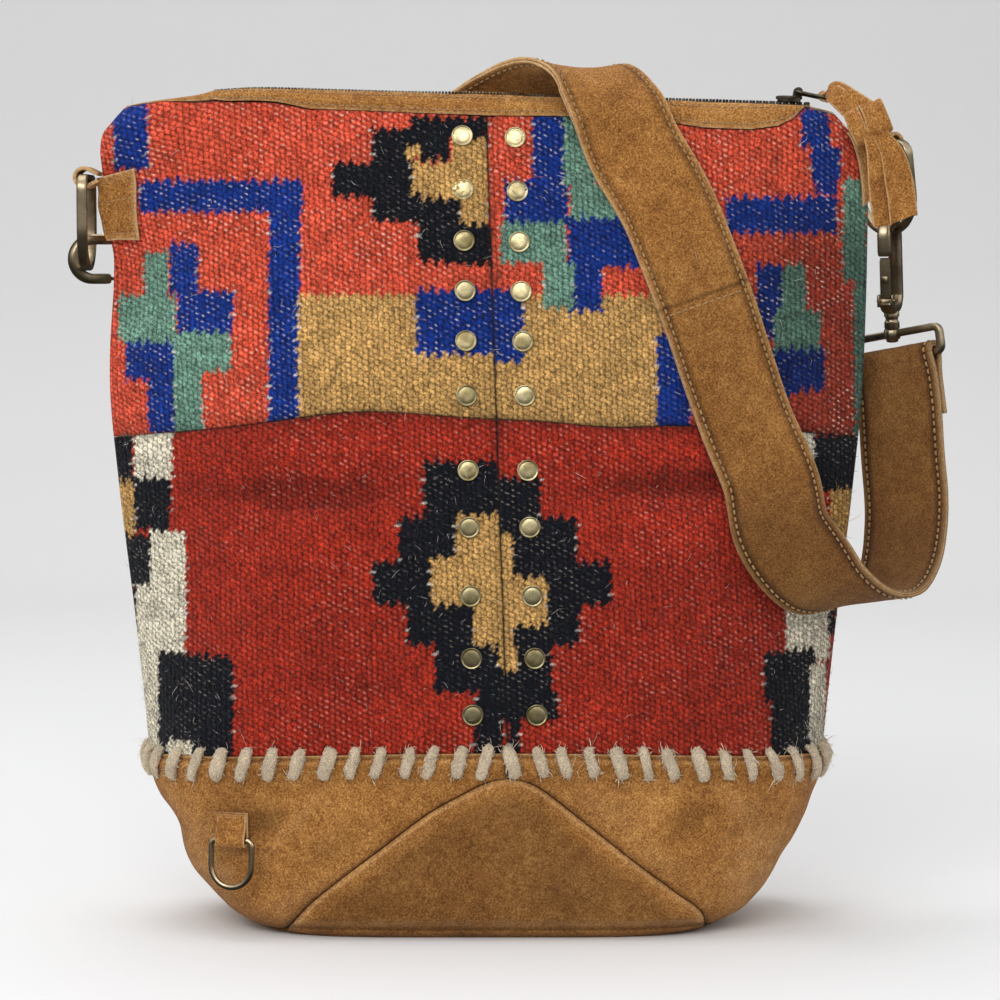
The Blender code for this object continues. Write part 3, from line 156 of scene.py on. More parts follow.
STRAP_WIDE, STRAP_THICK = 0.0460, 0.0032
FOLD_PLAY, FOLD_BACK, STRAP_OFF = 0.0005, 0.030, 0.0008
RIGHT_ACROSS = (0.75, -0.63, 0.17)
RIGHT_HOOK_TURN, LEFT_HOOK_TURN = 68.0, 25.0
RIGHT_HOOK_AXIS = (-0.0442, -0.0722, 0.9964)
RIGHT_FOLD_BAR = (0.19843, 0.0111, 0.27147)
LEFT_FOLD_BAR = (-0.1364, 0.0338, 0.3195)
FRONT_ROUTE = (
    (0.0700, 0.3740, 0.0016),
    (0.0850, 0.3480, 0.0006),
    (0.0965, 0.3200, 0.0),
    (0.1055, 0.2950, 0.0),
    (0.1140, 0.2680, 0.0),
    (0.1225, 0.2420, 0.0010),
    (0.1320, 0.2150, 0.0050),
)
BACK_ROUTE = (
    ((-0.0950, 0.0390, 0.3265), (0.12, 0.02, -0.98)),
    ((-0.0600, 0.0345, 0.3410), (0.32, 0.02, -0.92)),
    ((-0.0280, 0.0290, 0.3620), (0.50, 0.10, -0.84)),
    ((0.0000, 0.0235, 0.3850), (0.62, 0.32, -0.68)),
    ((0.0210, 0.0140, 0.4010), (0.66, 0.56, -0.44)),
    ((0.0365, 0.0030, 0.4090), (0.78, 0.58, -0.14)),
    ((0.0510, -0.0085, 0.4066), (0.87, 0.44, 0.06)),
    ((0.0620, -0.0180, 0.3910), (0.93, 0.26, 0.18)),
)
TURN_ROUTE = (
    ((0.1390, -0.0440, 0.1930), (0.92, 0.02, 0.32)),
    ((0.1490, -0.0500, 0.1780), (0.88, -0.20, 0.36)),
    ((0.1620, -0.0500, 0.1660), (0.80, -0.48, 0.30)),
    ((0.1770, -0.0430, 0.1600), (0.72, -0.66, 0.20)),
    ((0.1900, -0.0300, 0.1625), (0.70, -0.70, 0.12)),
    ((0.1990, -0.0150, 0.1760), (0.72, -0.68, 0.10)),
    ((0.2030, 0.0000, 0.1990), (0.75, -0.64, 0.10)),
    ((0.2020, 0.0080, 0.2230), (0.77, -0.62, 0.12)),
)


# Small helpers

def unit(v):
    v = np.asarray(v, float)
    return v / np.linalg.norm(v, axis=-1, keepdims=True)


def smooth(value, low, high):
    t = np.clip((value - low) / (high - low), 0.0, 1.0)
    return t * t * (3 - 2 * t)


def mix(low, high, t):
    return low + (high - low) * t


def hump(value, centre, width):
    """A round swell that is 1 at its centre."""
    return np.exp(-(((value - centre) / width) ** 2))


def fade(distance, reach):
    """1 at no distance, and less further off."""
    return np.exp(-distance / reach)


def linear(*rgb):
    """A screen colour, 0 to 255, as the light it stands for."""
    c = np.array(rgb, float) / 255
    return np.where(c <= 0.04045, c / 12.92, ((c + 0.055) / 1.055) ** 2.4)


def paint(*rgb):
    return tuple(linear(*rgb))


def lattice_noise(x, y, seed):
    """Smooth noise from -1 to 1 with features about one unit wide."""
    table = np.random.default_rng(seed).uniform(-1, 1, (64, 64))
    xi, yi = np.floor(x).astype(int), np.floor(y).astype(int)
    fx, fy = smooth(x - xi, 0, 1), smooth(y - yi, 0, 1)

    def at(i, j):
        return table[i % 64, j % 64]

    low = mix(at(xi, yi), at(xi + 1, yi), fx)
    high = mix(at(xi, yi + 1), at(xi + 1, yi + 1), fx)
    return mix(low, high, fy)


# The lofted form

HEIGHTS, WIDTHS, DEPTHS = (np.array(column) for column in zip(*STATIONS))


def eased(values, z, places=HEIGHTS):
    """A cubic through the stations, with slopes that don't overshoot."""
    steps = np.diff(values) / np.diff(places)
    a, b = steps[:-1], steps[1:]
    inner = np.where(a * b <= 0, 0.0, 2 * a * b / np.where(a + b == 0, 1.0, a + b))
    slopes = np.concatenate([steps[:1], inner, steps[-1:]])
    i = np.clip(np.searchsorted(places, z) - 1, 0, len(places) - 2)
    span = places[i + 1] - places[i]
    t = (z - places[i]) / span
    rise = values[i + 1] - values[i]
    m0, m1 = slopes[i] * span, slopes[i + 1] * span
    return values[i] + m0 * t + (3 * rise - 2 * m0 - m1) * t**2 + (m0 + m1 - 2 * rise) * t**3


def form(z):
    """Half width, half depth and the section's two powers at a height."""
    waist = smooth(z, WAIST_FROM, WAIST_TO)
    ridge = smooth(z, RIDGE_FROM, RIDGE_Z)
    square = mix(mix(BASE_SQUARE, WAIST_SQUARE, waist), RIDGE_SQUARE, ridge)
    return eased(WIDTHS, z), eased(DEPTHS, z), square, mix(BASE_ROUND, WAIST_ROUND, waist)


def depth_at(x, z, inset=0.0):
    """Half the bag's depth at a place across and a height; inset is the wall's thickness."""
    a, b, square, power = form(z)
    ratio = np.minimum(np.abs(x) / (a - inset), 1.0)
    return (b - inset) * (1 - ratio**square) ** power


LEVELS = np.linspace(0.0, RIDGE_Z, 700)
PARTS = np.linspace(0.0, 1.0, 401)


@lru_cache(maxsize=None)
def section_table(inset):
    """Places across and away at every level and part, and each level's girth from side to side."""
    swing = np.sin(np.linspace(-math.pi / 2, math.pi / 2, 641))
    xs, ys, girth = [], [], []
    for z in LEVELS:
        a, b, square, power = form(z)
        across = (a - inset) * swing
        away = (b - inset) * (1 - np.abs(swing) ** square) ** power
        run = np.concatenate([[0], np.cumsum(np.hypot(np.diff(across), np.diff(away)))])
        xs.append(np.interp(PARTS, run / run[-1], across))
        ys.append(np.interp(PARTS, run / run[-1], away))
        girth.append(run[-1])
    return np.array(xs), np.array(ys), np.array(girth)


def part_at(x, z, inset=0.0):
    """How far round half a section a place across is, 0 to 1."""
    xs, _, _ = section_table(inset)
    k = int(round(float(z) / RIDGE_Z * (len(LEVELS) - 1)))
    return float(np.interp(x, xs[k], PARTS))


def ridge_sag(x):
    """The ridge rounds over, lower than straight, before its left corner."""
    return SAG_DEEP * hump(x, SAG_X, SAG_WIDE)


def ridge_line(x):
    """How far the ridge lies over or under its middle."""
    straight = RIDGE_SLOPE * np.clip(x, RIDGE_LEFT, RIDGE_RIGHT) - ridge_sag(x)
    return straight - CORNER_FALL * np.maximum(np.maximum(RIDGE_LEFT - x, x - RIDGE_RIGHT), 0.0)


def side_tuck(x, z):
    """The left side is drawn in a little under the ring's patch, and its top corner stands out fuller."""
    drawn_in = SLIM_DEEP * hump(z, SLIM_Z, np.where(z > SLIM_Z, SLIM_ABOVE, SLIM_BELOW))
    corner = CORNER_PROUD * smooth(z, 0.352, 0.384) * smooth(-x, 0.130, 0.172)
    notch = NOTCH_DEEP * hump(z, NOTCH_Z, NOTCH_TALL) - HEEL_PROUD * hump(z, HEEL_Z, NOTCH_TALL)
    return drawn_in * smooth(-x, 0.135, 0.178) - corner + notch * smooth(-x, 0.120, 0.155)


def tilted(x, y, z):
    """The plain form's place, brought to the sloping ridge and the tucked side."""
    lifted = z + ridge_line(x) * smooth(z, TILT_FROM, TILT_TO)
    return np.stack(np.broadcast_arrays(x + side_tuck(x, lifted), y, lifted), -1)


def level_under(x, z):
    """The plain form's height that comes to lie at a real height."""
    level = z
    for _ in range(8):
        level = z - ridge_line(x) * smooth(level, TILT_FROM, TILT_TO)
    return level


def wall(part, z, side, inset=0.0):
    """Places on the wall: part runs 0 to 1 from the left side seam to the right, side is -1 in front."""
    part, z = np.broadcast_arrays(np.asarray(part, float), np.asarray(z, float))
    xs, ys, _ = section_table(inset)
    row = np.clip(z / RIDGE_Z, 0, 1) * (len(LEVELS) - 1)
    column = np.clip(part, 0, 1) * (len(PARTS) - 1)
    i = np.minimum(row.astype(int), len(LEVELS) - 2)
    j = np.minimum(column.astype(int), len(PARTS) - 2)
    fi, fj = row - i, column - j

    def read(table):
        low = mix(table[i, j], table[i, j + 1], fj)
        return mix(low, mix(table[i + 1, j], table[i + 1, j + 1], fj), fi)

    return tilted(read(xs), side * read(ys), z)


def wall_facing(x, z, side):
    """A place on the wall and its outward normal, by a place across and a height."""
    step = 0.001
    here = tilted(x, side * depth_at(x, z), z)
    along = tilted(x + step, side * depth_at(x + step, z), z) - here
    up = tilted(x, side * depth_at(x, z + step), z + step) - here
    normal = unit(np.cross(along, up))
    return here, normal if normal[1] * side > 0 else -normal


def grid_normals(points):
    """Normals of a grid of points, rows upward and columns to the right, facing -Y in front."""
    up = np.gradient(points, axis=0)
    along = np.gradient(points, axis=1)
    return unit(np.cross(along, up))


def rim_level(part):
    return RIM_Z - RIM_DROOP * (2 * part - 1) ** 2


def waist_level(part):
    swell = sum(rise * hump(part, centre, wide) for centre, wide, rise in WAIST_SWELLS)
    return WAIST_SEAM_Z - WAIST_SEAM_DROOP * (2 * part - 1) ** 2 + swell


def facing_level(part):
    """The facing's cut edge wanders, and runs out to nothing at both corners."""
    x = np.interp(part, PARTS, section_table(0.0)[0][-24])
    return RIDGE_Z - np.interp(x, FACING_PLACES, FACING_TALL)


def centre_seam(z):
    return CENTRE_SEAM_FOOT_X * (1 - (z - RIM_Z) / (RIDGE_Z - RIM_Z))


CENTRE_PARTS = np.array([part_at(centre_seam(z), z) for z in LEVELS])


# Materials

class Finish:
    """A material whose nodes are added one by one."""

    def __init__(self, name, roughness, metallic=0.0, sheen=0.0, specular=0.5):
        self.made = bpy.data.materials.new(name)
        self.made.use_nodes = True
        self.tree = self.made.node_tree
        self.shader = self.tree.nodes["Principled BSDF"]
        self.shader.inputs["Roughness"].default_value = roughness
        self.shader.inputs["Metallic"].default_value = metallic
        self.shader.inputs["Sheen Weight"].default_value = sheen
        self.shader.inputs["Sheen Roughness"].default_value = 0.6
        self.shader.inputs["Specular IOR Level"].default_value = specular

    def node(self, kind, inputs=None, **settings):
        made = self.tree.nodes.new("ShaderNode" + kind)
        for key, value in settings.items():
            setattr(made, key, value)
        for key, value in (inputs or {}).items():
            self.feed(made.inputs[key], value)
        return made

    def feed(self, socket, value):
        if isinstance(value, bpy.types.NodeSocket):
            self.tree.links.new(value, socket)
        else:
            socket.default_value = value

    def math(self, operation, a, b=0.5, clamp=False):
        return self.node("Math", {0: a, 1: b}, operation=operation, use_clamp=clamp).outputs[0]

    def add(self, a, b):
        return self.math("ADD", a, b)

    def times(self, a, b, clamp=False):
        return self.math("MULTIPLY", a, b, clamp)

    def span(self, value, low, high, to_low=0.0, to_high=1.0):
        ranged = self.node("MapRange", {"Value": value, "From Min": low, "From Max": high,
                                        "To Min": to_low, "To Max": to_high})
        return ranged.outputs["Result"]

    def blend(self, a, b, factor, how="MIX"):
        made = self.node("Mix", data_type="RGBA", blend_type=how)
        for key, value in ((0, factor), (6, a), (7, b)):
            if key and not isinstance(value, bpy.types.NodeSocket):
                value = (*value, 1.0)
            self.feed(made.inputs[key], value)
        return made.outputs[2]

    def where(self):
        return self.node("TexCoord").outputs["Object"]

    def attribute(self, name, kind="Fac"):
        return self.node("Attribute", attribute_name=name).outputs[kind]

    def noise(self, scale, detail=2.0, roughness=0.5, stretch=None):
        place = self.where()
        if stretch is not None:
            place = self.node("Mapping", {"Vector": place, "Scale": stretch}).outputs[0]
        return self.node("TexNoise", {"Vector": place, "Scale": scale, "Detail": detail,
                                      "Roughness": roughness}).outputs["Fac"]

    def lit(self, colour, light):
        """The colour, made lighter or darker by a number."""
        grey = self.node("CombineColor", {0: light, 1: light, 2: light}).outputs[0]
        return self.blend(colour, grey, 1.0, "MULTIPLY")

    def colour(self, value):
        self.feed(self.shader.inputs["Base Color"], value)

    def rough(self, value):
        self.feed(self.shader.inputs["Roughness"], value)

    def bump(self, height, distance, strength=1.0, under=None):
        inputs = {"Height": height, "Distance": distance, "Strength": strength}
        if under is not None:
            inputs["Normal"] = under
        made = self.node("Bump", inputs).outputs[0]
        self.feed(self.shader.inputs["Normal"], made)
        return made


def suede_finish(name, dark, middle, light):
    """Brushed leather: a mottled tone, a short nap, paler worn edges and painted highlights where the mesh
    marks them, and painted shade where the mesh marks shade.
    """
    f = Finish(name, 0.92, sheen=0.07, specular=0.12)
    broad = f.noise(22.0, 4.0, 0.62)
    mottle = f.noise(170.0, 4.0, 0.7)
    nap = f.noise(1150.0, 3.0, 0.75)
    tone = f.add(f.times(broad, 0.20), f.times(mottle, 0.18))
    tone = f.add(tone, f.times(nap, 0.62))
    ramp = f.node("ValToRGB", {"Fac": tone})
    stops = ramp.color_ramp.elements
    stops[0].position, stops[0].color = 0.38, (*dark, 1)
    stops[1].position, stops[1].color = 0.62, (*light, 1)
    stops.new(0.50).color = (*middle, 1)
    # The pale mark carries real edge wear and painted highlights; the shade mark carries painted shade.
    worn = f.times(f.attribute("wear_and_highlight"), f.span(nap, 0.35, 0.6, 0.45, 1.0), clamp=True)
    base = f.blend(ramp.outputs[0], paint(226, 190, 140), worn)
    f.colour(f.blend(base, tuple(c * 0.32 for c in dark), f.attribute("shade")))
    f.rough(f.span(mottle, 0.3, 0.7, 0.84, 0.97))
    grain = f.bump(nap, 0.0006, 0.85)
    f.bump(mottle, 0.0014, 0.5, grain)
    return f.made


def kilim_finish():
    """Hand-spun wool: the dye, with its painted light and shade, is on the mesh; the nodes add strands, pale
    warps, painted shade between the weave's beads and the weave's relief.
    """
    f = Finish("kilim_wool", 0.95, sheen=0.08, specular=0.06)
    wool_colour = f.attribute("wool_colour", "Color")
    cell = f.node("SeparateXYZ", {"Vector": f.attribute("cell", "Vector")})
    sway = f.span(f.noise(260.0, 2.0), 0.3, 0.7, -0.22, 0.22)
    column, row = f.add(cell.outputs[0], sway), cell.outputs[1]
    odd = f.times(f.math("MODULO", f.math("FLOOR", column), 2.0), 0.5)
    slant = f.times(f.math("FRACT", column), 0.35)
    shifted = f.add(f.add(row, odd), slant)
    across = f.math("ABSOLUTE", f.math("SUBTRACT", f.math("FRACT", column), 0.5))
    up = f.math("ABSOLUTE", f.math("SUBTRACT", f.math("FRACT", shifted), 0.5))
    sides = [f.math("POWER", f.times(side, 2.0), 2.4) for side in (across, up)]
    bead = f.math("SUBTRACT", 1.0, f.add(*sides), clamp=True)
    strand = f.noise(700.0, 3.0, 0.75, stretch=(1.0, 1.0, 0.85))
    fine = f.noise(2100.0, 2.0, 0.7)
    clump = f.noise(85.0, 3.0, 0.6)
    light = f.add(f.span(strand, 0.30, 0.70, 0.30, 1.64), f.span(fine, 0.3, 0.7, -0.22, 0.22))
    # Painted shade between the beads, painted highlight on their tops.
    light = f.times(light, f.span(bead, 0.0, 0.55, 0.52, 1.14))
    light = f.times(light, f.span(clump, 0.3, 0.7, 0.84, 1.14))
    wool = f.lit(wool_colour, light)
    cell_id = f.node("CombineXYZ", {0: f.math("FLOOR", column), 1: f.math("FLOOR", shifted)}).outputs[0]
    dice = f.node("TexWhiteNoise", {"Vector": cell_id}, noise_dimensions="2D").outputs["Value"]
    gate = f.noise(24.0, 2.0)
    near = f.add(f.times(across, 0.55), up)
    near = f.add(near, f.span(fine, 0.3, 0.7, -0.05, 0.05))
    speck = f.times(f.span(near, 0.24, 0.10), f.span(dice, 0.30, 0.95))
    speck = f.times(speck, f.span(gate, 0.42, 0.60, 0.15, 1.0), clamp=True)
    speck = f.times(speck, f.attribute("speckled"), clamp=True)
    f.colour(f.blend(wool, paint(236, 216, 198), speck))
    woven = f.bump(bead, 0.0006, 0.6)
    f.bump(f.add(strand, f.times(fine, 0.4)), 0.0012, 0.9, woven)
    return f.made


def yarn_finish(name, colour, scale, dark=0.55, bright=1.3):
    """Spun thread: fine strands that are darker between."""
    f = Finish(name, 0.95, sheen=0.25, specular=0.1)
    strand = f.noise(scale, 4.0, 0.75)
    clump = f.noise(120.0, 2.0)
    light = f.times(f.span(strand, 0.34, 0.66, dark, bright), f.span(clump, 0.3, 0.7, 0.82, 1.12))
    f.colour(f.lit(colour, light))
    f.bump(strand, 0.0010, 1.0)
    return f.made


def fuzz_finish():
    """Loose wool ends, which have the colour of the place they stand on, its painted light and shade
    included.
    """
    f = Finish("wool_fibre", 0.9, sheen=0.12, specular=0.1)
    strand = f.noise(900.0, 2.0)
    light = f.span(strand, 0.3, 0.7, 0.8, 1.2)
    f.colour(f.lit(f.attribute("wool_colour", "Color"), light))
    return f.made


def metal_finish(name, dark, bright, roughness):
    """Antiqued metal: soft clouds of patina over a rubbed, brighter ground, with fine casting marks."""
    f = Finish(name, roughness, metallic=1.0)
    clouds = f.noise(90.0, 3.0, 0.55)
    fine = f.noise(2200.0, 2.0, 0.6)
    tone = f.add(clouds, f.span(fine, 0.3, 0.7, -0.04, 0.04))
    f.colour(f.blend(dark, bright, f.span(tone, 0.36, 0.66)))
    f.rough(f.span(tone, 0.35, 0.68, min(roughness + 0.10, 0.9), max(roughness - 0.04, 0.12)))
    f.bump(fine, 0.00008, 0.5)
    return f.made


def cloth_finish(name, colour, pitch):
    """A plain weave of fine threads in object space."""
    f = Finish(name, 0.92, sheen=0.15, specular=0.2)
    place = f.node("SeparateXYZ", {"Vector": f.where()})
    warp = f.math("SINE", f.times(place.outputs[0], 2 * math.pi / pitch))
    weft = f.math("SINE", f.times(place.outputs[2], 2 * math.pi / pitch))
    weave = f.add(f.times(f.times(warp, weft), 0.5), 0.5)
    slub = f.noise(60.0, 4.0, 0.7, stretch=(0.3, 1.0, 2.0))
    light = f.times(f.span(weave, 0.0, 1.0, 0.82, 1.08), f.span(slub, 0.3, 0.7, 0.84, 1.1))
    f.colour(f.lit(colour, light))
    f.bump(weave, 0.0002, 0.7)
    return f.made


KILIM_WOOL = kilim_finish()
WOOL_FIBRE = fuzz_finish()
SUEDE_BODY = suede_finish("suede", paint(100, 60, 24), paint(163, 108, 51), paint(212, 160, 92))
THREAD = yarn_finish("stitching_thread", paint(206, 160, 100), 2400.0)
YARN = yarn_finish("whipstitch_yarn", paint(224, 203, 172), 1500.0, 0.42, 1.40)
BRASS = metal_finish("antique_brass", paint(112, 100, 66), paint(180, 168, 130), 0.27)
GUNMETAL = metal_finish("antique_hardware", paint(122, 108, 86), paint(180, 164, 136), 0.28)
ZIP_METAL = metal_finish("zip_metal", paint(50, 45, 38), paint(128, 118, 98), 0.36)
COTTON = cloth_finish("lining_cotton", paint(186, 160, 124), 0.0011)
TAPE = cloth_finish("zip_tape_cloth", paint(84, 62, 44), 0.0008)


# Pieces

def make(name, verts, faces, body, finish, slot, stands_for=(), marks=None, wool_colour=None, angle=None):
    """Makes a piece that rides a body. marks are per-vertex numbers or vectors by name."""
    mesh = bpy.data.meshes.new(name)
    mesh.from_pydata(np.asarray(verts, float).tolist(), [], [tuple(int(i) for i in f) for f in faces])
    tidy = bmesh.new()
    tidy.from_mesh(mesh)
    bmesh.ops.recalc_face_normals(tidy, faces=tidy.faces)
    tidy.to_mesh(mesh)
    tidy.free()
    mesh.materials.append(finish)
    for key, values in (marks or {}).items():
        values = np.asarray(values, np.float32)
        kind = "FLOAT" if values.ndim == 1 else "FLOAT_VECTOR"
        layer = mesh.attributes.new(key, kind, "POINT")
        layer.data.foreach_set("value" if values.ndim == 1 else "vector", values.ravel())
    if wool_colour is not None:
        layer = mesh.attributes.new("wool_colour", "FLOAT_COLOR", "POINT")
        layer.data.foreach_set("color", np.column_stack([wool_colour, np.ones(len(wool_colour))]).astype(np.float32).ravel())
    mesh.shade_smooth()
    if angle is not None:
        mesh.set_sharp_from_angle(angle=math.radians(angle))
    made = bpy.data.objects.new(name, mesh)
    bpy.context.scene.collection.objects.link(made)
    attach(made, body)
    if stands_for:
        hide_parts(*stands_for)
    return made


def sewing(name, rows):
    return make(f"{name}_stitches", *gather(rows), "bag", THREAD, "suede")


def suede_marks(verts, wear_and_highlight, shade=None, hidden=0.0):
    """Wear with painted highlights, and painted shade, by vertex. Those past the marked ones have the hidden
    wear and no shade.
    """
    wear_and_highlight = np.ravel(wear_and_highlight)
    shade = np.zeros(len(wear_and_highlight)) if shade is None else np.clip(shade, 0, 1).ravel()
    extra = len(verts) - len(wear_and_highlight)
    return {"wear_and_highlight": np.concatenate([wear_and_highlight, np.full(extra, hidden)]),
            "shade": np.concatenate([shade, np.zeros(extra)])}


def grid_faces(rows, columns, offset=0, flip=False):
    r, c = np.meshgrid(np.arange(rows - 1), np.arange(columns - 1), indexing="ij")
    a = (offset + r * columns + c).ravel()
    quads = np.stack([a, a + 1, a + columns + 1, a + columns], 1)
    return (quads[:, ::-1] if flip else quads).tolist()


def rim_of(rows, columns):
    """The indices round a grid's edge."""
    r = [(0, c) for c in range(columns)] + [(r, columns - 1) for r in range(1, rows)]
    r += [(rows - 1, c) for c in range(columns - 2, -1, -1)] + [(r, 0) for r in range(rows - 2, 0, -1)]
    return [a * columns + b for a, b in r]


def closed_patch(outer, inner, coarse):
    """One shell from an outer grid and an inner one, whose middle is kept coarse."""
    rows, columns = outer.shape[:2]
    verts = outer.reshape(-1, 3).tolist()
    faces = grid_faces(rows, columns)
    index = {}

    def inside(r, c):
        if (r, c) not in index:
            index[(r, c)] = len(verts)
            verts.append(inner[r, c].tolist())
        return index[(r, c)]

    edge = rim_of(rows, columns)
    backs = [inside(k // columns, k % columns) for k in edge]
    n = len(edge)
    faces += [(edge[(i + 1) % n], edge[i], backs[i], backs[(i + 1) % n]) for i in range(n)]
    for r in range(0, rows - 1, coarse):
        for c in range(0, columns - 1, coarse):
            e, f = r + coarse, c + coarse
            low = [(r, c + k) for k in range(coarse)] if r == 0 else [(r, c)]
            right = [(r + k, f) for k in range(coarse)] if f == columns - 1 else [(r, f)]
            high = [(e, f - k) for k in range(coarse)] if e == rows - 1 else [(e, f)]
            left = [(e - k, c) for k in range(coarse)] if c == 0 else [(e, c)]
            faces.append([inside(*p) for p in low + right + high + left][::-1])
    return np.array(verts), faces


def tube_faces(rings, around, closed=False):
    """The quads between rings of points. An open tube gets its two ends too."""
    faces = []
    for i in range(rings if closed else rings - 1):
        a, b = i * around, (i + 1) % rings * around
        faces += [(a + s, a + (s + 1) % around, b + (s + 1) % around, b + s) for s in range(around)]
    if not closed:
        faces += [tuple(range(around))[::-1], tuple(range((rings - 1) * around, rings * around))]
    return faces


def swept(points, across, out, outlines, closed):
    """Sweeps outlines, one or one for each point, of (across, out) pairs along points."""
    points, across, out = (np.asarray(v, float) for v in (points, across, out))
    outlines = np.asarray(outlines, float)
    if outlines.ndim == 2:
        outlines = np.broadcast_to(outlines, (len(points), *outlines.shape))
    verts = points[:, None] + across[:, None] * outlines[..., :1] + out[:, None] * outlines[..., 1:]
    return verts.reshape(-1, 3), tube_faces(len(points), outlines.shape[1], closed)


def oval(half_across, half_out, sides):
    a = 2 * math.pi * (np.arange(sides) + 0.5) / sides
    return np.stack([half_across * np.cos(a), half_out * np.sin(a)], 1)


def rounded_bar(half_across, half_out, corner, steps=3):
    """A rectangle with round corners."""
    made = []
    for k, (su, sv) in enumerate(((1, 1), (-1, 1), (-1, -1), (1, -1))):
        for i in range(steps + 1):
            a = math.radians(90 * k + 90 * i / steps)
            made.append((su * (half_across - corner) + corner * math.cos(a),
                         sv * (half_out - corner) + corner * math.sin(a)))
    return np.array(made)


def flat_sweep(path, origin, along, across, outline, closed):
    """Sweeps an outline along a path drawn in the plane of two directions."""
    along, across = np.asarray(along, float), np.asarray(across, float)
    normal = unit(np.cross(along, across))
    path = np.asarray(path, float)
    points = np.asarray(origin, float) + path[:, :1] * along + path[:, 1:] * across
    if closed:
        heading = np.roll(points, -1, 0) - np.roll(points, 1, 0)
    else:
        heading = np.gradient(points, axis=0)
    first = unit(np.cross(normal, unit(heading)))
    return swept(points, first, np.broadcast_to(normal, first.shape), outline, closed)


def arc(centre, radius, start, end, steps):
    a = np.radians(np.linspace(start, end, steps + 1))
    return [(centre[0] + radius * math.cos(t), centre[1] + radius * math.sin(t)) for t in a]


def refine(path, step):
    """Splits the long stretches of a closed path."""
    made = []
    for a, b in zip(path, path[1:] + path[:1]):
        pieces = max(1, int(math.dist(a, b) / step))
        made += [tuple(mix(np.array(a), np.array(b), k / pieces)) for k in range(pieces)]
    return made


def turned(centre, axis, profile, sides):
    """Spins a profile of (distance along the axis, radius) pairs, closed by flat ends."""
    axis = Vector(axis).normalized()
    first = axis.orthogonal().normalized()
    second = axis.cross(first)
    a = 2 * math.pi * np.arange(sides) / sides
    circle = np.cos(a)[:, None] * np.array(first) + np.sin(a)[:, None] * np.array(second)
    verts = np.concatenate([np.array(centre) + np.array(axis) * t + circle * r for t, r in profile])
    return verts, tube_faces(len(profile), sides)


def block(centre, axes, half, bevel=0.0):
    """A box with its edges cut, as an eight-sided prism."""
    axes = np.asarray(axes, float)
    h = np.asarray(half, float)
    c = min(bevel, *(h * 0.45))
    ring = [(h[0] - c, h[1]), (h[0], h[1] - c), (h[0], -h[1] + c), (h[0] - c, -h[1]),
            (-h[0] + c, -h[1]), (-h[0], -h[1] + c), (-h[0], h[1] - c), (-h[0] + c, h[1])]
    less = 1 - c / max(h[0], h[1])
    layers = ((-h[2], less), (-h[2] + c, 1.0), (h[2] - c, 1.0), (h[2], less))
    verts = [np.asarray(centre) + axes[0] * x * k + axes[1] * y * k + axes[2] * z
             for z, k in layers for x, y in ring]
    return np.array(verts), tube_faces(len(layers), len(ring))


def gather(parts):
    """Joins (verts, faces) pairs."""
    verts, faces, start = [], [], 0
    for v, f in parts:
        verts.append(np.asarray(v, float))
        faces += [tuple(i + start for i in face) for face in f]
        start += len(v)
    return np.concatenate(verts), faces


def spline(points, steps):
    """A smooth line through the points, with so many steps from one to the next."""
    rows = [np.array(p, float) for p in points]
    rows = [2 * rows[0] - rows[1]] + rows + [2 * rows[-1] - rows[-2]]
    made = []
    for i in range(1, len(rows) - 2):
        a, b, c, d = rows[i - 1:i + 3]
        for k in range(steps):
            t = k / steps
            made.append(0.5 * (2 * b + (c - a) * t + (2 * a - 5 * b + 4 * c - d) * t**2
                               + (3 * b - a - 3 * c + d) * t**3))
    made.append(rows[-2])
    return np.array(made)


def running_length(points):
    return np.concatenate([[0], np.cumsum(np.linalg.norm(np.diff(points, axis=0), axis=1))])


def stitches(points, normals, long, thick, pitch):
    """Short thread stitches along a line, each dipping into the leather at its ends."""
    points, normals = np.asarray(points, float), np.asarray(normals, float)
    run = running_length(points)
    made = []
    for k in range(int(run[-1] / pitch)):
        mid = (k + 0.5) * pitch
        places = [mid + t * long / 2 for t in (-1, -0.55, 0.55, 1)]
        spots = np.array([np.interp(places, run, points[:, j]) for j in range(3)]).T
        normal = unit([np.interp(mid, run, normals[:, j]) for j in range(3)])
        heading = unit(spots[3] - spots[0])
        side = np.cross(normal, heading)
        lift = np.array([-0.35, 0.25, 0.25, -0.35])[:, None] * thick * normal
        outline = oval(thick / 2, thick / 2, 5) * np.array([0.6, 1.0, 1.0, 0.6])[:, None, None]
        made.append(swept(spots + lift, np.tile(side, (4, 1)), np.tile(normal, (4, 1)), outline, False))
    return made


# Kilim

COLUMN, ROW = 0.0026, 0.0027  # the weave's lattice
COMB_DEEP = 0.0032  # how far the colours comb into each other at a level edge
FRAY_UP, FRAY_ACROSS, WEFT_STEP = 0.00060, 0.00035, 0.00035
SLIT_REACH, SLIT_TALL, SLIT_SHARE = 0.0016, 0.0010, 0.40  # pale knots along the upright edges
KNOT_CHANGE, YARN_CHANGE = 0.10, 0.12
DYES = {
    "red": linear(220, 84, 58),
    "deep": linear(172, 47, 28),
    "blue": linear(15, 52, 138),
    "green": linear(116, 156, 136),
    "tan": linear(208, 162, 96),
    "black": linear(15, 18, 27),
    "cream": linear(236, 226, 202),
}
DYE_NAMES = list(DYES)
SPECKLED = {"red": 0.95, "deep": 0.34, "blue": 0.8, "black": 0.30}  # how much of the pale warp shows
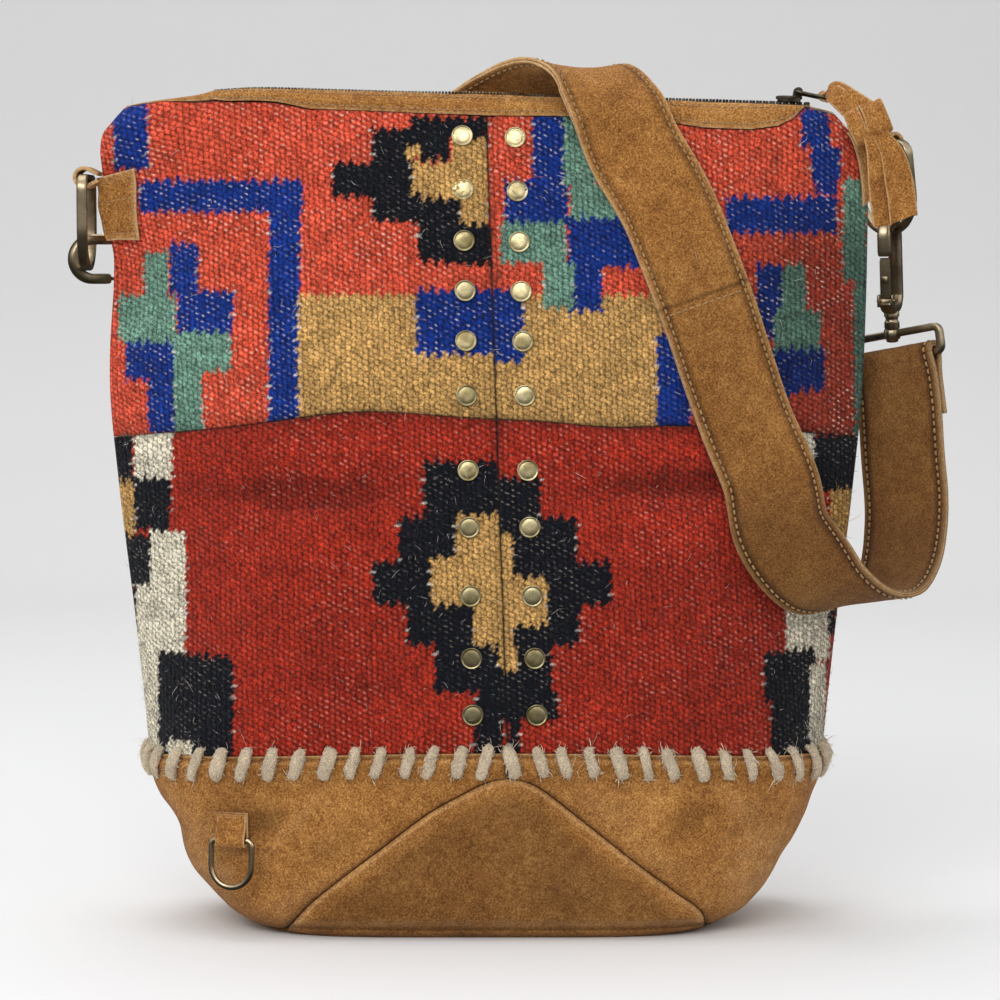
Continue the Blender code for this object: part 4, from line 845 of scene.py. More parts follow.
# Fields of colour, in millimetres from the middle and over the floor: left, right, low, high
UPPER_FIELDS = (
    ("blue", -178, -161, 362, 394), ("blue", -166, -87, 342, 357), ("blue", -103, -88, 230, 353),
    ("blue", -151, -137, 304, 327), ("blue", -147, -120, 285, 305), ("blue", -173, -148, 262, 280),
    ("blue", -162, -149, 236, 264), ("green", -164, -152, 302, 323), ("green", -177, -148, 280, 302),
    ("green", -149, -121, 266, 285), ("green", -149, -135, 236, 266),
    ("tan", -89, 85, 230, 303),
    ("tan", -16, 1, 334, 381), ("tan", -36, -16, 347, 365),
    ("black", -73, -50, 349, 365), ("black", -54, -35, 337, 381), ("black", -36, -17, 366, 387),
    ("black", -17, 1, 377, 387), ("black", -50, -30, 337, 350), ("black", -32, -12, 318, 348),
    ("black", -12, 3, 317, 336), ("tan", -38, -31, 367, 373),
    ("blue", -33, 18, 275, 305), ("blue", 4, 18, 271, 280),
    ("blue", 22, 38, 356, 391), ("blue", 9, 39, 337, 356), ("green", 37, 52, 355, 391),
    ("green", 40, 68, 339, 355), ("blue", 39, 74, 316, 339), ("blue", 39, 55, 295, 319),
    ("green", 7, 38, 318, 337), ("green", 27, 42, 297, 318),
    ("blue", 81, 97, 230, 284),
    ("blue", 150, 164, 373, 392), ("blue", 155, 169, 357, 373), ("blue", 157, 168, 350, 357),
    ("blue", 114, 168, 332, 349), ("blue", 129, 143, 281, 317), ("blue", 136, 162, 257, 277),
    ("blue", 143, 147, 254, 257), ("green", 141, 153, 294, 317), ("green", 137, 160, 277, 295),
    ("green", 171, 190, 310, 358), ("red", 183, 190, 318, 362), ("green", 177, 190, 233, 310),
)
LOWER_FIELDS = (
    ("black", -182, -170, 213, 240), ("black", -171, -151, 190, 216), ("black", -175, -159, 163, 187),
    ("black", -171, -164, 139, 163), ("cream", -169, -150, 215, 240), ("tan", -182, -169, 187, 213),
    ("cream", -161, -143, 131, 190), ("cream", -169, -153, 75, 163), ("black", -157, -119, 78, 133),
    ("cream", -152, -139, 78, 92),
    ("black", -29, 6, 199, 225), ("black", 6, 26, 199, 217), ("black", -41, 43, 178, 199),
    ("black", -53, 59, 158, 178), ("black", -37, 44, 139, 158), ("black", -24, 31, 117, 139),
    ("black", -4, 34, 104, 117), ("black", -6, 8, 80, 114), ("black", 11, 16, 80, 114),
    ("tan", -14, 6, 180, 200), ("tan", -26, 6, 158, 180), ("tan", -6, 12, 139, 158),
    ("tan", 6, 13, 128, 191), ("tan", 12, 29, 148, 171), ("tan", 10, 15, 127, 139),
    ("cream", 150, 157, 224, 240), ("black", 157, 182, 209, 236), ("black", 150, 160, 209, 224),
    ("tan", 165, 180, 180, 209), ("cream", 143, 166, 127, 156), ("black", 132, 158, 111, 134),
    ("black", 135, 155, 75, 111), ("cream", 155, 164, 75, 126), ("black", 165, 169, 139, 152),
)
BACK_SHIFT_X, BACK_SHIFT_Z = 0.006, -0.004


def field_codes(x, z, level, side):
    """Which dye each place has."""
    if side > 0:
        x, z = -x + BACK_SHIFT_X, z + BACK_SHIFT_Z
    fields = UPPER_FIELDS if level == "upper" else LOWER_FIELDS
    code = np.full(np.shape(x), DYE_NAMES.index("red" if level == "upper" else "deep"))
    for wool_colour, x0, x1, z0, z1 in fields:
        inside = (x > x0 / 1000) & (x < x1 / 1000) & (z > z0 / 1000) & (z < z1 / 1000)
        code = np.where(inside, DYE_NAMES.index(wool_colour), code)
    return code


def weave_colours(points, u, v, level, side, rng):
    """The dye at each point: combed and frayed edges, slit knots and yarn-to-yarn change."""
    column, row = np.floor(u / COLUMN), np.floor(v / ROW)
    x, z = points[..., 0], points[..., 2]
    tall = rng.normal(1.0, 0.30, 512)[(column // 2).astype(int) % 512]
    comb = (np.abs((u / COLUMN) % 2 - 1) - 0.5) * COMB_DEEP * tall
    weft = np.where(row % 2 == 0, WEFT_STEP, -WEFT_STEP) + rng.normal(0, FRAY_ACROSS, x.shape)
    code = field_codes(x + weft, z + comb + rng.normal(0, FRAY_UP, x.shape), level, side)
    colour = np.array([DYES[name] for name in DYE_NAMES])[code]
    shades = rng.normal(1.0, KNOT_CHANGE, (512, 512))
    ci, ri = column.astype(int) % 512, row.astype(int) % 512
    bands = 1 + 0.06 * lattice_noise(0 * v + 3.5, v / 0.011, 11)
    bands = bands + 0.05 * lattice_noise(u / 0.03, v / 0.006, 12)
    bands = bands * rng.normal(1.0, YARN_CHANGE, x.shape)
    colour = colour * (shades[ci, ri] * bands)[..., None]
    edge = field_codes(x - SLIT_REACH, z, level, side) != field_codes(x + SLIT_REACH, z, level, side)
    edge &= field_codes(x, z + 0.003, level, side) == field_codes(x, z - 0.003, level, side)
    some = rng.random((512, 512))[ci, ri] < SLIT_SHARE
    dash = edge & some & ((v % (2 * ROW)) < SLIT_TALL)
    colour = np.where(dash[..., None], mix(colour, linear(232, 224, 212), 0.7), colour)
    return colour, np.array([SPECKLED.get(name, 0.0) for name in DYE_NAMES])[code]


# Under the waist seam the cloth sags on both sides of the middle: a fold with a swell under and over it
SAG_PLACE, SAG_HALF_WIDE = 0.085, 0.045
FOLD_Z, FOLD_SLOPE, FOLD_TALL, FOLD_DEEP = 0.212, 0.02, 0.0075, 0.0030
WAIST_SLACK = ((0.190, 0.013, 0.0026), (0.229, 0.007, 0.0018))
# And a finer crease under the left fold
FINE_X, FINE_Z, FINE_SLOPE, FINE_TALL, FINE_WIDE, FINE_DEEP = -0.087, 0.2030, 0.10, 0.0034, 0.024, 0.0016


def crease(points, level, side):
    """How far the cloth stands proud of the plain form: slack, sag under the seams and pinched edges."""
    x, z = points[..., 0], points[..., 2]
    slack = 0.0010 * lattice_noise(x / 0.055 + 3, z / 0.06, 21 + side)
    slack = slack + 0.0005 * lattice_noise(x / 0.02, z / 0.024, 23 + side)
    if level == "lower":
        fold = hump(z - FOLD_Z, FOLD_SLOPE * x, FOLD_TALL)
        where = hump(x, -SAG_PLACE, SAG_HALF_WIDE) + hump(x, SAG_PLACE, SAG_HALF_WIDE)
        slack = slack - FOLD_DEEP * fold * where
        for height, tall, rise in WAIST_SLACK:
            slack = slack + rise * hump(z, height, tall) * where
        fine = hump(z - FINE_Z, FINE_SLOPE * (x - FINE_X), FINE_TALL) * hump(x, FINE_X, FINE_WIDE)
        slack = slack - FINE_DEEP * fine
    return slack


PANEL_TALL = {"upper": 0.1435, "lower": 0.155}
PANEL_WIDE, GRID_WIDE = 0.185, 0.190
PANEL_COARSE = 8


def panel_grid(level, hand, side, spacing):
    """Outer and inner points of a woven panel, with its cloth coordinates."""
    low, high = (rim_level, waist_level) if level == "lower" else (waist_level, facing_level)
    rows, columns = (int(round(long / spacing / PANEL_COARSE)) * PANEL_COARSE
                     for long in (PANEL_TALL[level], GRID_WIDE))
    t = np.linspace(0, 1, columns + 1)[None, :]
    s = np.linspace(0, 1, rows + 1)[:, None]
    guess = t * 0.5 if hand == "left" else 0.5 + t * 0.5
    girth = section_table(0.0)[2]

    def grid(inset):
        z = mix(low(guess) + GAP / 2, high(guess) - GAP / 2, s)
        seam = np.interp(z, LEVELS, CENTRE_PARTS)
        trim = (GAP / 2) / 0.4
        if hand == "left":
            part = mix(0.0 * seam, seam - trim, t)
        else:
            part = mix(seam + trim, 1.0 + 0 * seam, t)
        points = wall(part, z, side, inset)
        points[..., 1] += side * GAP / 2
        return points, part, z, seam

    outer, part, z, seam = grid(0.0)
    inner = grid(KILIM)[0]
    u = (part - seam) * np.interp(z, LEVELS, girth)
    return outer, inner, u, z, t, s


def kilim_panel(view, level, hand):
    """One woven panel: every knot stands proud, and the cloth is pinched where it is sewn."""
    side = -1 if view == "front" else 1
    spacing = 0.00096 if side < 0 else 0.0016
    outer, inner, u, v, t, s = panel_grid(level, hand, side, spacing)
    seed = 100 * (side + 2) + 10 * (level == "upper") + (hand == "left")
    rng = np.random.default_rng(seed)
    colour, speckled = weave_colours(outer, u, v, level, side, rng)
    normal = grid_normals(outer) * (1 if side < 0 else -1)
    column, row = u / COLUMN, v / ROW
    odd = 0.5 * (np.floor(column) % 2)
    across, up = np.abs(column % 1 - 0.5) * 2, np.abs((row + odd) % 1 - 0.5) * 2
    bead = np.clip(1 - across**2.2 - up**2.2, 0, 1) ** 0.5
    rise = 0.00024 * bead + 0.00028 * rng.normal(0, 1, bead.shape) - 0.00020
    slack = crease(outer, level, side)
    rise = rise + slack
    sunk = np.clip(slack, -0.0022, 0.0)
    sideways = (1 - t, t) if hand == "left" else (t, 1 - t)
    upward = (s, 1 - s) if level == "upper" else (1 - s, s)
    near_seam, near_side = (share * PANEL_WIDE for share in sideways)
    near_waist, near_edge = (share * PANEL_TALL[level] for share in upward)
    pinch = fade(near_seam, 0.0035) * 0.0016 + fade(near_waist, 0.0035) * 0.0018
    pinch = pinch + fade(near_edge, 0.003) * 0.0006
    rise = (rise - pinch) * smooth(near_side, 0.0, 0.003)
    moved = outer + normal * rise[..., None]
    side_column = 0 if hand == "left" else -1
    moved[:, side_column, 1] = outer[:, side_column, 1]
    inner = inner + normal * (sunk * smooth(near_side, 0.0, 0.01))[..., None]
    verts, faces = closed_patch(moved, inner, PANEL_COARSE)
    # Painted shade in the sunk folds and along the sewn seams, painted highlight on the swells, and painted
    # light across each panel: the lower ones darker towards the lower right, the upper ones darker at the
    # right and lighter at the left.
    shade = (1 - 0.38 * smooth(-sunk, 0.0002, 0.0022)) * (1 + 0.16 * smooth(slack, 0.0008, 0.0030))
    shade = shade * (1 - 0.45 * fade(near_seam, 0.0018) - 0.45 * fade(near_waist, 0.0020))
    x, z = outer[..., 0], outer[..., 2]
    if level == "lower":
        shade = shade * (1 - 0.24 * smooth(x, 0.0, 0.17) * smooth(0.22 - z, -0.02, 0.10))
    else:
        shade = shade * (1 - 0.58 * smooth(x, 0.08, 0.165) * smooth(0.365 - z, 0.0, 0.05))
        shade = shade * (1 + 0.10 * smooth(-x, 0.0, 0.10))
    colour = colour * np.clip(shade, 0.1, 1.2)[..., None]
    extra = len(verts) - outer.shape[0] * outer.shape[1]
    # The colour on the mesh carries the dyes together with this painted light and shade.
    wool_colour = np.concatenate([colour.reshape(-1, 3), np.tile(DYES["cream"] * 0.5, (extra, 1))])
    cell = np.stack([column, row, 0 * row], -1).reshape(-1, 3)
    marks = {
        "cell": np.concatenate([cell, np.zeros((extra, 3))]),
        "speckled": np.concatenate([speckled.ravel(), np.zeros(extra)]),
    }
    panel = f"{view}_{level}_{hand}"
    make(f"{panel}_kilim", verts, faces, "bag", KILIM_WOOL, "kilim", [f"{panel}_panel"], marks, wool_colour)
    return moved, normal, colour


def fibres(places, normals, colours, count, rng, long, curled, name, stand=(0.10, 0.75), stout=1.0):
    """Loose wool ends: thin three-sided hairs, straight, or bent at the middle."""
    pick = rng.integers(0, len(places), count)
    base, normal, tint = places[pick], normals[pick], colours[pick]
    swing = rng.normal(0, 1, (count, 3))
    lean = unit(swing - normal * np.sum(swing * normal, 1, keepdims=True))
    length = rng.gamma(2.2, long / 2.2, count)[:, None]
    rise = rng.uniform(*stand, count)[:, None]
    curl = np.cross(lean, normal) * rng.normal(0, 0.55, count)[:, None]
    middle = base + (lean * 0.5 + normal * rise * 0.62 + curl * 0.10) * length
    tip = base + (lean * 0.86 + normal * rise * 0.62 + curl * 0.55) * length
    thick = rng.uniform(0.00006, 0.00011, count)[:, None] * stout
    side = unit(np.cross(lean, normal))
    rings = []
    for centre, scale in [(base - normal * 0.0002, 1.0)] + [(middle, 0.9)] * curled:
        for k in range(3):
            a = 2 * math.pi * k / 3
            rings.append(centre + (side * math.cos(a) + normal * math.sin(a)) * thick * scale)
    verts = np.stack([*rings, tip], 1)
    each = verts.shape[1]
    if curled:
        hair = [(0, 1, 4, 3), (1, 2, 5, 4), (2, 0, 3, 5), (3, 4, 6), (4, 5, 6), (5, 3, 6), (2, 1, 0)]
    else:
        hair = [(0, 1, 3), (1, 2, 3), (2, 0, 3), (2, 1, 0)]
    faces = [tuple(k * each + i for i in face) for k in range(count) for face in hair]
    tone = rng.uniform(0.75, 1.7, count)[:, None]
    pale = np.clip(tint * tone + 0.03, 0, 0.9)
    dark = np.max(tint, 1) < 0.10
    white = rng.random(count) < np.where(dark, 0.12, 0.03)
    pale[white] = linear(232, 226, 214)
    make(name, verts.reshape(-1, 3), faces, "bag", WOOL_FIBRE, "kilim", wool_colour=np.repeat(pale, each, 0))


def kilim():
    for view in ("front", "back"):
        spots, outs, tints = [], [], []
        for level in ("upper", "lower"):
            for hand in ("left", "right"):
                for found, values in zip((spots, outs, tints), kilim_panel(view, level, hand)):
                    found.append(values[3:-3, 3:-3].reshape(-1, 3))
        rng = np.random.default_rng(7 if view == "front" else 8)
        spots, outs, tints = (np.concatenate(v) for v in (spots, outs, tints))
        many = 1.0 if view == "front" else 0.2
        # The loose fibres take the panels' colours, painted light and shade included.
        fibres(spots, outs, tints, int(8000 * many), rng, 0.0031, True, f"{view}_long_fibres")
        fibres(spots, outs, tints, int(14000 * many), rng, 0.0019, False, f"{view}_short_fibres")


# Suede base

def leg(z, foot):
    """The bottom panel's edge: a bowed leg that rounds over into the apex, then the centre seam."""
    drops, outs = (LEG_DROP_LEFT, LEG_OUT_LEFT) if foot < 0 else (LEG_DROP_RIGHT, LEG_OUT_RIGHT)
    out = np.linspace(0, 1, 1201)
    drop = eased(np.array(drops), out, np.array(outs))
    share = np.interp(np.clip(1 - z / LEG_TOP, 0.0, 1.0), drop, out)
    return CENTRE_SEAM_FOOT_X + (foot - CENTRE_SEAM_FOOT_X) * share


# Soft dents in the side panels' fronts: across, height, half length, half width, slant in degrees, rise
BASE_DENTS = (
    (-0.1035, 0.0560, 0.013, 0.0075, 10, -0.0024),
    (-0.1180, 0.0655, 0.016, 0.0100, 0, -0.0010),
    (-0.0895, 0.0565, 0.016, 0.0036, 48, 0.0018),
    (-0.0735, 0.0440, 0.013, 0.0070, 35, -0.0013),
    (-0.0880, 0.0200, 0.022, 0.0080, 30, 0.0009),
    (0.0560, 0.0640, 0.020, 0.0080, -20, 0.0010),
    (0.0960, 0.0560, 0.016, 0.0070, 30, -0.0014),
    (0.1180, 0.0640, 0.016, 0.0060, -40, 0.0012),
    (0.0820, 0.0400, 0.018, 0.0060, -38, 0.0010),
)


def base_dents(x, y, z):
    """How far the front's dents and folds stand out, at each place."""
    rise = 0.0 * x
    for across, height, long, wide, slant, deep in BASE_DENTS:
        a = math.radians(slant)
        along = (x - across) * math.cos(a) + (z - height) * math.sin(a)
        aside = (z - height) * math.cos(a) - (x - across) * math.sin(a)
        rise = rise + deep * np.exp(-((along / long) ** 2) - (aside / wide) ** 2)
    return rise * smooth(-y, 0.0, 0.02)


def base_side(name, node, foot):
    """One side panel of the base, from the front leg round the side to the back leg."""
    hand = math.copysign(1, foot)
    half_columns = 96
    seam = 0.0 if hand < 0 else 1.0
    low = SUEDE + GAP
    up = [np.linspace(0, 0.86, 57)[:-1], np.linspace(0.86, 0.95, 29)[:-1], np.linspace(0.95, 1, 13)]
    up = np.concatenate(up)[:, None]
    reach = np.abs(np.linspace(-1, 1, 2 * half_columns + 1))[None, :]
    sides = np.where(np.arange(2 * half_columns + 1) <= half_columns, -1, 1)[None, :]
    heights = np.linspace(0, RIM_Z, 1600)
    seam_parts = np.array([part_at(x, z) for x, z in zip(leg(heights, foot) + hand * GAP, heights)])

    def grid(inset):
        z = mix(low, rim_level(mix(seam, 0.5, reach)) - GAP / 2, up)
        end = np.interp(z, heights, seam_parts)
        part = mix(seam, end, reach)
        front, back = wall(part, z, -1, inset), wall(part, z, 1, inset)
        return np.where((sides < 0)[..., None], front, back), z, part

    outer, z, part = grid(0.0)
    inner = grid(SUEDE)[0]
    normal = grid_normals(outer)
    normal = normal * np.sign(np.sum(normal * (outer - (0.0, 0.0, 0.05)), -1, keepdims=True))
    x, y = outer[..., 0], outer[..., 1]
    wide = np.abs(x)
    dent = 0.0009 * lattice_noise(x / 0.034 + 5, z / 0.026 + y / 0.04, 31)
    dent += 0.0004 * lattice_noise(x / 0.012, z / 0.011 + y / 0.02, 32)
    folds = base_dents(x, y, z)
    dent += folds
    corner = hump(wide, 0.128, 0.018) * hump(z, 0.034, 0.020)
    slant = np.sin((wide * 0.8 - z) / 0.0085)
    dent += corner * (0.0016 * slant - 0.0012)
    from_rim = (1 - up) * 0.08
    to_leg = np.abs(x - leg(z, foot)) * 0.62 + 0.0 * part
    rim = fade(from_rim, 0.0022)
    leg_edge = fade(to_leg, 0.0026) * smooth(LEG_TOP + 0.003 - z, 0.0, 0.006)
    dent = dent * (1 - rim) * (1 - leg_edge) * smooth(up, 0.0, 0.10)
    rise = dent + 0.0010 * hump(from_rim, 0.0042, 0.0020) - 0.0015 * leg_edge
    rise = rise - 0.0006 * hump(from_rim, 0.0014, 0.0007)
    seam_line = fade(np.abs(x - CENTRE_SEAM_FOOT_X), 0.0012) * smooth(z, LEG_TOP - 0.001, LEG_TOP + 0.001)
    rise = rise - 0.0009 * seam_line
    moved = outer + normal * rise[..., None]
    verts, faces = closed_patch(moved, inner, 8)
    noise = 0.5 + 0.5 * lattice_noise(x / 0.004, z / 0.004, 33)
    # Pale cut edge at the rim and rubbed corners, with a painted highlight on the rolled rim and on the
    # raised folds.
    wear_and_highlight = 0.80 * fade(from_rim, 0.0006) * (0.4 + 0.6 * noise) + 0.25 * corner * noise
    wear_and_highlight = wear_and_highlight + 0.16 * hump(from_rim, 0.0032, 0.0006)
    wear_and_highlight = wear_and_highlight + 0.16 * np.clip(folds / 0.0018, 0, 1)
    # Painted shade along the seams, in the dents and folds, in lines under the rolled rim and at the floor.
    shade = 0.80 * fade(to_leg, 0.0009) * (z < LEG_TOP + 0.0006) + 0.12 * np.clip(-dent / 0.0022, 0, 1)
    shade = shade + 0.40 * np.clip(-folds / 0.0024, 0, 1)
    shade = shade + 0.22 * fade(to_leg, 0.0060) * (z < LEG_TOP) + 0.75 * seam_line
    shade = shade + 0.30 * fade(z, 0.006) + 0.45 * hump(from_rim, 0.0016, 0.0006)
    shade = shade + 0.16 * hump(from_rim, 0.0100, 0.004)
    make(name, verts, faces, "bag", SUEDE_BODY, "suede", [node], suede_marks(verts, wear_and_highlight, shade, 0.4))


def bottom_panel():
    """The floor and the two triangles that rise from it, in front and behind."""
    across = 96
    flap = 0.5 - 0.5 * np.cos(np.pi * np.linspace(0, 1, 57))

    def flap_row(side, up, inset):
        z = max(up * (LEG_TOP - GAP), inset)
        left, right = float(leg(z, LEG_LEFT_X)) + GAP / 2, float(leg(z, LEG_RIGHT_X)) - GAP / 2
        x = np.linspace(left, right, across + 1)
        return np.stack([x, side * depth_at(x, z, inset), np.full(across + 1, z)], -1)

    def margin_x(y, z):
        a, b, square, power = form(z)
        return a * (1 - (abs(y) / b) ** (1 / power)) ** (1 / square)

    def floor_row(w, inset):
        left_y, right_y = w * depth_at(LEG_LEFT_X, inset, inset), w * depth_at(LEG_RIGHT_X, inset, inset)
        left, right = -margin_x(left_y, inset), margin_x(right_y, inset)
        t = np.linspace(0, 1, across + 1)
        fold = mix(LEG_LEFT_X, LEG_RIGHT_X, t)
        y = w * depth_at(fold, inset, inset)
        return np.stack([mix(left, right, t), y, np.full(across + 1, inset)], -1)

    floor = np.linspace(-0.985, 0.985, 32)

    def grid(inset):
        rows = [flap_row(-1, up, inset) for up in flap[::-1]]
        rows += [floor_row(w, inset) for w in floor[1:]]
        rows += [flap_row(1, up, inset) for up in flap]
        return np.array(rows)

    outer, inner = grid(0.0), grid(SUEDE)
    rows = len(outer)
    x, z = outer[..., 0], outer[..., 2]
    front = np.arange(rows)[:, None] < len(flap)
    back = np.arange(rows)[:, None] >= rows - len(flap)
    walls = front | back
    curve = LEG_TOP * (0.5 - 0.5 * np.cos(np.pi * np.linspace(0, 1, 241)))
    near = np.full(x.shape, 1.0)
    for foot in (LEG_LEFT_X, LEG_RIGHT_X):
        for height, edge_x in zip(curve, leg(curve, foot)):
            near = np.minimum(near, np.hypot(x - edge_x, z - height))
    dent = 0.0009 * lattice_noise(x / 0.036 + 9, z / 0.022, 41)
    dent = dent + 0.0004 * lattice_noise(x / 0.011, z / 0.010, 42)
    dent = dent - 0.0012 * np.exp(-(((x - 0.020) / 0.016) ** 2) - ((z - 0.061) / 0.006) ** 2)
    dent = dent * smooth(z, 0.003, 0.016) * smooth(near, 0.0, 0.006)
    rolled = 0.0009 * hump(near, 0.0022, 0.0020) - 0.0008 * fade(near, 0.0005)
    rolled = rolled * smooth(z, 0.004, 0.012)
    fold = 0.0012 * hump(z, 0.0100, 0.0024) - 0.0010 * hump(z, 0.0052, 0.0012)
    rise = (dent + fold * smooth(near, 0.0, 0.004) + rolled) * walls
    moved = outer.copy()
    moved[..., 1] += np.where(front, -rise, rise)
    verts, faces = closed_patch(moved, inner, 2)
    noise = 0.5 + 0.5 * lattice_noise(x / 0.004, z / 0.004, 43)
    # A pale band along the low fold, and a painted highlight along the triangles' rolled edges.
    wear_and_highlight = 0.30 * hump(z, 0.0085, 0.0016) * noise * walls
    wear_and_highlight = wear_and_highlight + 0.30 * hump(near, 0.0014, 0.0009) * walls * (z > 0.003)
    # Painted shade: the triangles darker away from their edges, a line in the crease over the floor, at the
    # floor and in the dents.
    shade = 0.44 * smooth(near, 0.001, 0.012) * smooth(z, 0.004, 0.010) + 0.55 * hump(z, 0.0050, 0.0010)
    shade = shade + 0.45 * fade(z, 0.004) + 0.2 * np.clip(-dent / 0.002, 0, 1)
    make("base_bottom", verts, faces, "bag", SUEDE_BODY, "suede", ["base_bottom_panel"],
         suede_marks(verts, wear_and_highlight, shade))


def ring_place(turn):
    """The part and the side at a turn of 0 to 2 round the bag."""
    turn = turn % 2
    return (turn, -1) if turn <= 1 else (2 - turn, 1)


def wall_frame(part, z, side):
    """A place on the wall, the way along it and the way out."""
    reach = 0.012
    base = wall(part, z, side)
    if part < reach:
        ahead, behind = wall(reach, z, side), wall(reach, z, -side)
    elif part > 1 - reach:
        ahead, behind = wall(1 - reach, z, -side), wall(1 - reach, z, side)
    else:
        ahead, behind = wall(part + reach, z, side), wall(part - reach, z, side)
    along = unit(ahead - behind)
    out = unit(np.array([along[1], -along[0], 0]))
    return base, along, -out if side > 0 else out


def whip_yarn():
    """Thick loose yarn over the rim: each stitch swells in its middle and dives through both edges."""
    rng = np.random.default_rng(5)
    parts, spots, outs = [], [], []
    path = ((-1.04, -0.0030), (-0.98, -0.0008), (-0.86, 0.0010), (-0.5, 0.0022), (0.0, 0.0026),
            (0.5, 0.0020), (0.86, 0.0010), (0.97, -0.0006), (1.02, -0.0026))
    round_it = np.linspace(0, 2 * math.pi, 13)[:-1]
    for k in range(STITCHES):
        turn = (k + 0.5 + rng.uniform(-0.10, 0.10)) * 2 / STITCHES
        part, side = ring_place(turn)
        level = float(rim_level(part)) - STITCH_DROP
        _, along, out = wall_frame(part, level, side)
        lean = (STITCH_LEAN if side * (0.5 - part) < 0 else -STITCH_LEAN) * rng.uniform(0.7, 1.35)
        tall = STITCH_TALL * rng.uniform(0.92, 1.12)
        line = []
        for t, lift in path:
            z = level + t * tall / 2
            here = wall_frame(part, z, side)[0]
            line.append(here + along * lean * (z - level) + out * (lift + GAP))
        line = spline(line, 3)
        heading = unit(np.gradient(line, axis=0))
        first = unit(np.cross(heading, out))
        second = np.cross(first, heading)
        count = len(line)
        t = np.linspace(0, 1, count)[:, None]
        plump = 0.0030 * (0.16 + 0.84 * np.sin(np.pi * t) ** 0.62) * rng.uniform(0.80, 1.14)
        seed = int(rng.integers(0, 1000))
        lumps = 1 + 0.22 * lattice_noise(t * 5 + seed, round_it / 1.1 + 3 * t, seed)
        lumps = lumps + rng.normal(0, 0.055, lumps.shape)
        outline = np.stack([plump * lumps * np.cos(round_it), 0.62 * plump * lumps * np.sin(round_it)], -1)
        verts, faces = swept(line, first, second, outline, False)
        parts.append((verts, faces))
        shell = verts.reshape(count, len(round_it), 3)
        spots.append(shell[3:-3].reshape(-1, 3))
        outs.append(unit(shell[3:-3] - line[3:-3, None]).reshape(-1, 3))
    make("whipstitch_yarn", *gather(parts), "bag", YARN, "kilim")
    spots, outs = np.concatenate(spots), np.concatenate(outs)
    tint = np.tile(linear(206, 186, 158), (len(spots), 1))
    fibres(spots, outs, tint, 4600, rng, 0.0028, True, "whipstitch_loops", (0.02, 0.22), 2.2)
    fibres(spots, outs, tint, 900, rng, 0.0034, True, "whipstitch_fibres")


# Facings

SEWN_ROWS = (3, 13)  # the rows of the facing's grid that are sewn


def facing(view):
    """The suede strip along the zip, with its two rows of stitches."""
    side = -1 if view == "front" else 1
    rows, columns = 16, 520
    t = np.linspace(0, 1, columns + 1)[None, :]
    s = np.linspace(0, 1, rows + 1)[:, None]
    low = facing_level(t)
    tall = RIDGE_Z - low
    z = mix(low + GAP / 2, RIDGE_Z - GAP / 2, s)

    def grid(inset):
        points = wall(t + 0 * s, z, side, inset)
        points[..., 1] += side * GAP / 2
        return points

    outer, inner = grid(0.0), grid(SUEDE)
    normal = grid_normals(outer) * (1 if side < 0 else -1)
    bulge = 0.0012 * np.sin(np.pi * np.clip(s * 1.1, 0, 1))
    bulge = bulge + 0.0005 * lattice_noise(t / 0.03, s / 0.5, 51 + side)
    bulge = (bulge + 0.0006) * smooth(np.minimum(t, 1 - t), 0, 0.01) * smooth(tall, 0.0006, 0.004)
    moved = outer + normal * bulge[..., None]
    verts, faces = closed_patch(moved, inner, 8)
    run = np.cumsum(np.linalg.norm(np.diff(outer[8], axis=0, prepend=outer[8, :1]), axis=1))[None, :]
    noise = 0.5 + 0.5 * lattice_noise(t / 0.008 + 0 * s, s / 0.3 + 0 * t, 52)
    wear_and_highlight = 0.9 * fade(s * tall, 0.0007) * noise + 0.35 * noise * fade((1 - s) * tall, 0.0010)
    # Painted shade in the stitch holes of the sewn rows.
    holes = 0 * z
    for row in SEWN_ROWS:
        holes[row] = (np.abs((run[0] / FACING_PITCH + 0.5) % 1 - 0.5) < 0.13) * 0.8
    make(f"{view}_top_facing", verts, faces, "bag", SUEDE_BODY, "suede", [f"{view}_facing"],
         suede_marks(verts, wear_and_highlight, holes * (tall > 0.004), 0.5))
    sewn = np.flatnonzero(tall[0] > 0.004)
    span = slice(sewn[0], sewn[-1])
    lines = [stitches(moved[row, span], normal[row, span], 0.0021, 0.0008, FACING_PITCH) for row in SEWN_ROWS]
    sewing(f"{view}_facing", lines[0] + lines[1])


# Studs

# A stud's rim, as distance along the axis and radius, and the dome inside it
STUD_RIM = ((-0.0006, 0.0042), (0.0002, 0.0049), (0.0008, 0.0051), (0.0014, 0.00495), (0.0015, 0.0047),
            (0.0014, 0.0045), (0.00125, 0.0043))
DOME_FOOT, DOME_TALL, DOME_RADIUS = 0.0012, 0.00028, 0.0042


def studs():
    """Two columns of domed studs, each a little off its square seat."""
    rng = np.random.default_rng(61)
    profile = list(STUD_RIM)
    profile += [(DOME_FOOT + DOME_TALL * (1 - r**4), DOME_RADIUS * r) for r in np.linspace(0.97, 0.06, 10)]
    for hand, (top_x, foot_x) in STUD_COLUMNS.items():
        parts, nodes = [], []
        for k, z in enumerate(STUD_HEIGHTS):
            x = mix(top_x, foot_x, (STUD_HEIGHTS[0] - z) / (STUD_HEIGHTS[0] - STUD_HEIGHTS[-1]))
            place, normal = wall_facing(x, z, -1)
            tip = rng.normal(0, 0.030, 3)
            parts.append(turned(place, unit(normal + tip), profile, 32))
            nodes.append(f"stud_{hand}_{k + 1:02d}")
        make(f"{hand}_studs", *gather(parts), "bag", BRASS, "brass", nodes, angle=50)


# Zip

def on_ridge(x, y, rise):
    return np.array([x, y, RIDGE_Z + RIDGE_SLOPE * x + rise])


